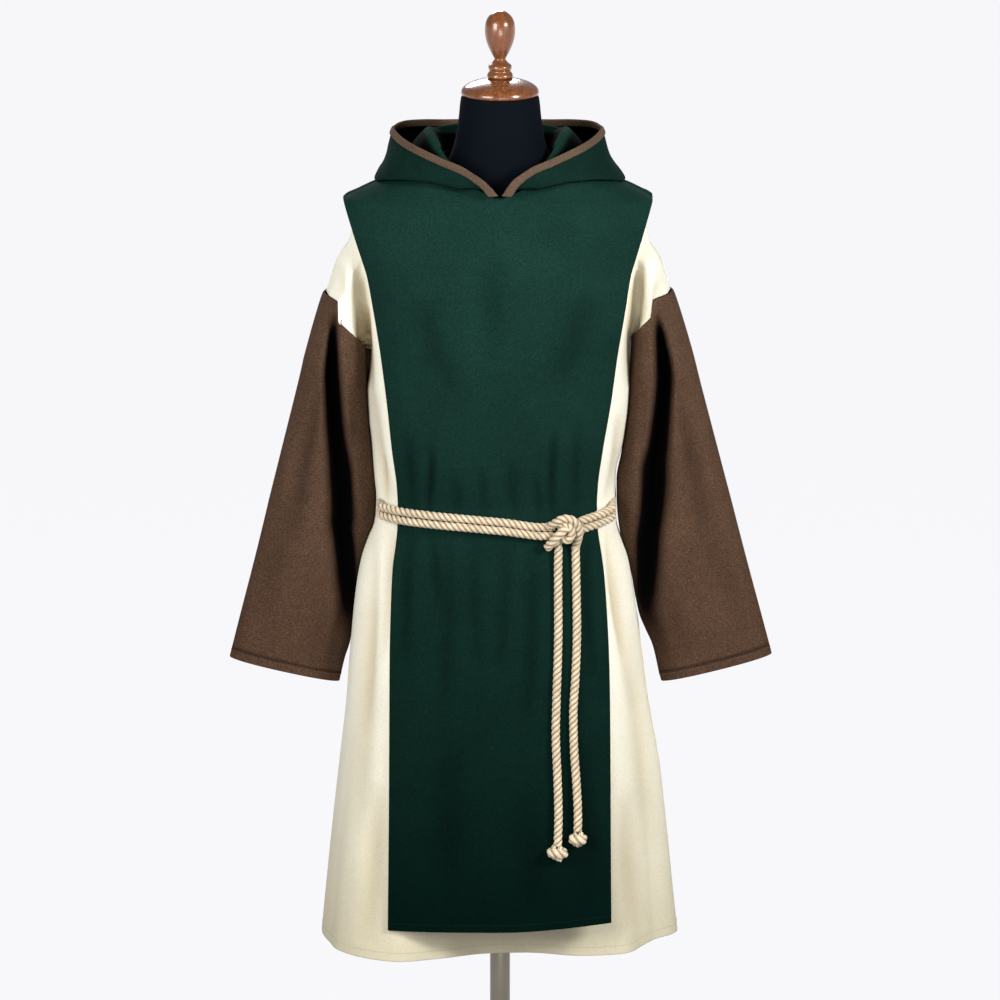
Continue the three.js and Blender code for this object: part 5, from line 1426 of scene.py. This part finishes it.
# %% Wood, steel, knit and thread
def varnished_wood():
    """Grain: noise squeezed across and stretched up the grain, over slow bands of rings."""
    material, nodes, links, shader, place = new_material("varnished turned wood")
    up = remapped(nodes, links, place, Scale=(1.0, 1.0, 0.07))
    grain = noise(nodes, links, up, Scale=210.0, Detail=6.0, Roughness=0.65, Distortion=0.6)
    pores = noise(nodes, links, up, Scale=900.0, Detail=3.0, Roughness=0.6)
    rings = noise(nodes, links, up, Scale=38.0, Detail=2.0, Distortion=1.2)
    colour = ramp(
        nodes, links, grain,
        (0.3, (0.086, 0.022, 0.003)), (0.5, (0.16, 0.045, 0.006)), (0.7, (0.24, 0.076, 0.012)),
    )
    bands = ramp(nodes, links, rings, (0.35, (0.84, 0.8, 0.76)), (0.62, (1.06, 1.04, 1.0)))
    links.new(tinted(nodes, links, colour, bands), shader.inputs["Base Color"])
    shader.inputs["Roughness"].default_value = 0.3
    shader.inputs["Coat Weight"].default_value = 0.8
    shader.inputs["Coat Roughness"].default_value = 0.1
    bumped(nodes, links, shader, pores, 0.15, 0.0002)
    return material


def brushed_steel(name, squeeze):
    """Brushing: noise stretched along the brush's stroke drives the roughness and a slight bump."""
    material, nodes, links, shader, place = new_material(name)
    stroke = remapped(nodes, links, place, Scale=squeeze)
    marks = noise(nodes, links, stroke, Scale=700.0, Detail=4.0, Roughness=0.7)
    clouds = noise(nodes, links, place, Scale=9.0, Detail=3.0)
    rough = nodes.new("ShaderNodeMapRange")
    rough.inputs["To Min"].default_value = 0.28
    rough.inputs["To Max"].default_value = 0.5
    links.new(marks, rough.inputs["Value"])
    links.new(rough.outputs["Result"], shader.inputs["Roughness"])
    colour = ramp(nodes, links, clouds, (0.3, (0.19, 0.168, 0.13)), (0.7, (0.25, 0.225, 0.185)))
    links.new(colour, shader.inputs["Base Color"])
    shader.inputs["Metallic"].default_value = 1.0
    bumped(nodes, links, shader, marks, 0.12, 0.0002)
    return material


def knit_cover():
    """A tight knit: the bump is a wave of fine level rows, and the colour varies with fine lint."""
    material, nodes, links, shader, place = new_material("navy knit cover")
    lint = noise(nodes, links, place, Scale=1300.0, Detail=4.0, Roughness=0.7)
    rows = node(nodes, "ShaderNodeTexWave", Scale=260.0, Distortion=1.0, Detail=2.0)
    rows.bands_direction = "Z"
    links.new(place, rows.inputs["Vector"])
    dark, light = (0.0007, 0.0017, 0.0032), (0.0022, 0.0044, 0.0078)
    links.new(ramp(nodes, links, lint, (0.35, dark), (0.65, light)), shader.inputs["Base Color"])
    shader.inputs["Roughness"].default_value = 0.85
    shader.inputs["Specular IOR Level"].default_value = 0.06
    bumped(nodes, links, shader, rows.outputs["Fac"], 0.3, 0.0003)
    return material


def thread_material(name, dark, light):
    """Thread: one fine noise between two colours."""
    material, nodes, links, shader, place = new_material(name)
    twist = noise(nodes, links, place, Scale=2200.0, Detail=2.0)
    links.new(ramp(nodes, links, twist, (0.35, dark), (0.65, light)), shader.inputs["Base Color"])
    shader.inputs["Roughness"].default_value = 0.8
    shader.inputs["Specular IOR Level"].default_value = 0.05
    return material


wood = varnished_wood()
pole_steel = brushed_steel("steel brushed lengthways", (1.0, 1.0, 0.03))
base_steel = brushed_steel("steel brushed across", (0.03, 1.0, 1.0))
knit = knit_cover()
thread_cream = thread_material("cream thread", (0.36, 0.30, 0.19), (0.50, 0.44, 0.30))
# The green thread is made dark as painted shade, for the light falling off at the hem.
thread_green = thread_material("green thread", (0.0016, 0.011, 0.009), (0.0036, 0.019, 0.0155))
thread_brown = thread_material("brown thread", (0.06, 0.036, 0.026), (0.12, 0.075, 0.056))

# %% [markdown]
# ## Putting it together
#
# Each piece takes its finish, stands for its CAD node and rides with the object's one body.

# %% Finishes and nodes
PIECES = [
    (tunic_front, "tunic_front", "cream_wool", cream_wool),
    (tunic_back, "tunic_back", "cream_wool", cream_wool),
    (sleeves["left"], "sleeve_left", "brown_wool", brown_wool),
    (sleeves["right"], "sleeve_right", "brown_wool", brown_wool),
    (scapular_front, "scapular_front", "green_wool", green_wool),
    (scapular_back, "scapular_back", "green_wool", green_wool),
    (hoods["left"], "hood_left", "green_wool", green_wool),
    (hoods["right"], "hood_right", "green_wool", green_wool),
    (binding, "hood_binding", "binding_tape", binding_wool),
    (belt_upper, "belt_turn_upper", "tan_rope", rope_tan),
    (belt_lower, "belt_turn_lower", "tan_rope", rope_tan),
    (belt_knot, "belt_knot", "tan_rope", rope_tan),
    (tail_left, "tail_left", "tan_rope", rope_tan),
    (tail_right, "tail_right", "tan_rope", rope_tan),
    (tail_knot_left, "tail_knot_left", "tan_rope", rope_tan),
    (tail_knot_right, "tail_knot_right", "tan_rope", rope_tan),
    (form_torso, "form_torso", "form_cloth", knit),
    (neck_cap, "neck_cap", "turned_wood", wood),
    (finial, "finial", "turned_wood", wood),
    (pole_collar, "pole_collar", "stand_steel", pole_steel),
    (pole, "pole", "stand_steel", pole_steel),
    (base, "base", "stand_steel", base_steel),
]
for piece, cad_node, finish, material in PIECES:
    piece.data.materials.clear()
    piece.data.materials.append(material)
    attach(piece, "root")
    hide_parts(cad_node)
THREADS = {
    "tunic_front": (thread_cream, "cream_wool"), "tunic_back": (thread_cream, "cream_wool"),
    "scapular_front": (thread_green, "green_wool"), "scapular_back": (thread_green, "green_wool"),
    "sleeve_left": (thread_brown, "brown_wool"), "sleeve_right": (thread_brown, "brown_wool"),
}
for panel, (material, finish) in THREADS.items():
    threads[panel].data.materials.append(material)
    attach(threads[panel], "root")

# %% [markdown]
# ## Studio
#
# The object stands on one wide floor that glows evenly, so the background is one pale tone from
# every side. A soft light high on the right shapes the folds and a larger one on the left fills
# them. A low one lights the skirt, one behind lights the back, and a dim room lights the rest.

# %% Floor, light and colour
FLOOR_RADIUS = 90_000  # so large that it reaches past the top of the picture


def floor():
    """A flat disc that glows by itself, and doesn't light the object."""
    turn = np.linspace(0, 2 * math.pi, 96, endpoint=False)
    rim = FLOOR_RADIUS * np.stack([np.cos(turn), np.sin(turn), 0 * turn], axis=1)
    i = np.arange(96)
    faces = np.stack([i, (i + 1) % 96, 0 * i + 96], axis=1).tolist()
    mesh = bare_mesh("floor", np.vstack([rim, [[0, 0, 0]]]), faces)
    mesh.polygons.foreach_set("use_smooth", np.ones(96, bool))
    piece = linked("floor", mesh)
    material, _, _, shader, _ = new_material("pale floor")
    shader.inputs["Base Color"].default_value = (0.012, 0.012, 0.012, 1)
    shader.inputs["Roughness"].default_value = 1.0
    shader.inputs["Specular IOR Level"].default_value = 0.0
    shader.inputs["Emission Color"].default_value = (0.925, 0.925, 0.952, 1)
    shader.inputs["Emission Strength"].default_value = 1.0
    piece.data.materials.append(material)
    piece.visible_diffuse = False
    return piece


def soft_light(name, place, size, power, aim):
    """A rectangle of light, in watts, turned towards the place that it aims at."""
    data = bpy.data.lights.new(name, "AREA")
    data.shape = "RECTANGLE"
    data.size, data.size_y = size
    data.energy = power
    light = linked(name, data)
    light.location = place
    x, y, z = np.subtract(place, aim)
    light.rotation_euler = (math.atan2(math.hypot(x, y), z), 0, math.atan2(x, -y))
    return light


lights = [
    soft_light("key", (3.5, -3.0, 3.1), (1.1, 1.1), 245, aim=(0, 0, 1.05)),
    soft_light("fill", (-2.9, -3.7, 2.6), (2.4, 2.4), 205, aim=(0, 0, 1.05)),
    soft_light("low", (0.4, -4.4, 0.8), (2.0, 1.2), 45, aim=(0, 0, 0.8)),
    soft_light("back", (-0.6, 4.2, 3.6), (2.4, 1.6), 150, aim=(0, 0, 1.1)),
]
floor()
world = bpy.data.worlds.new("studio")
world.use_nodes = True
room = world.node_tree.nodes["Background"]
room.inputs["Color"].default_value = (0.95, 0.96, 1.0, 1)
room.inputs["Strength"].default_value = 0.3
bpy.context.scene.world = world
bpy.context.scene.view_settings.view_transform = "Standard"
bpy.context.scene.view_settings.look = "None"
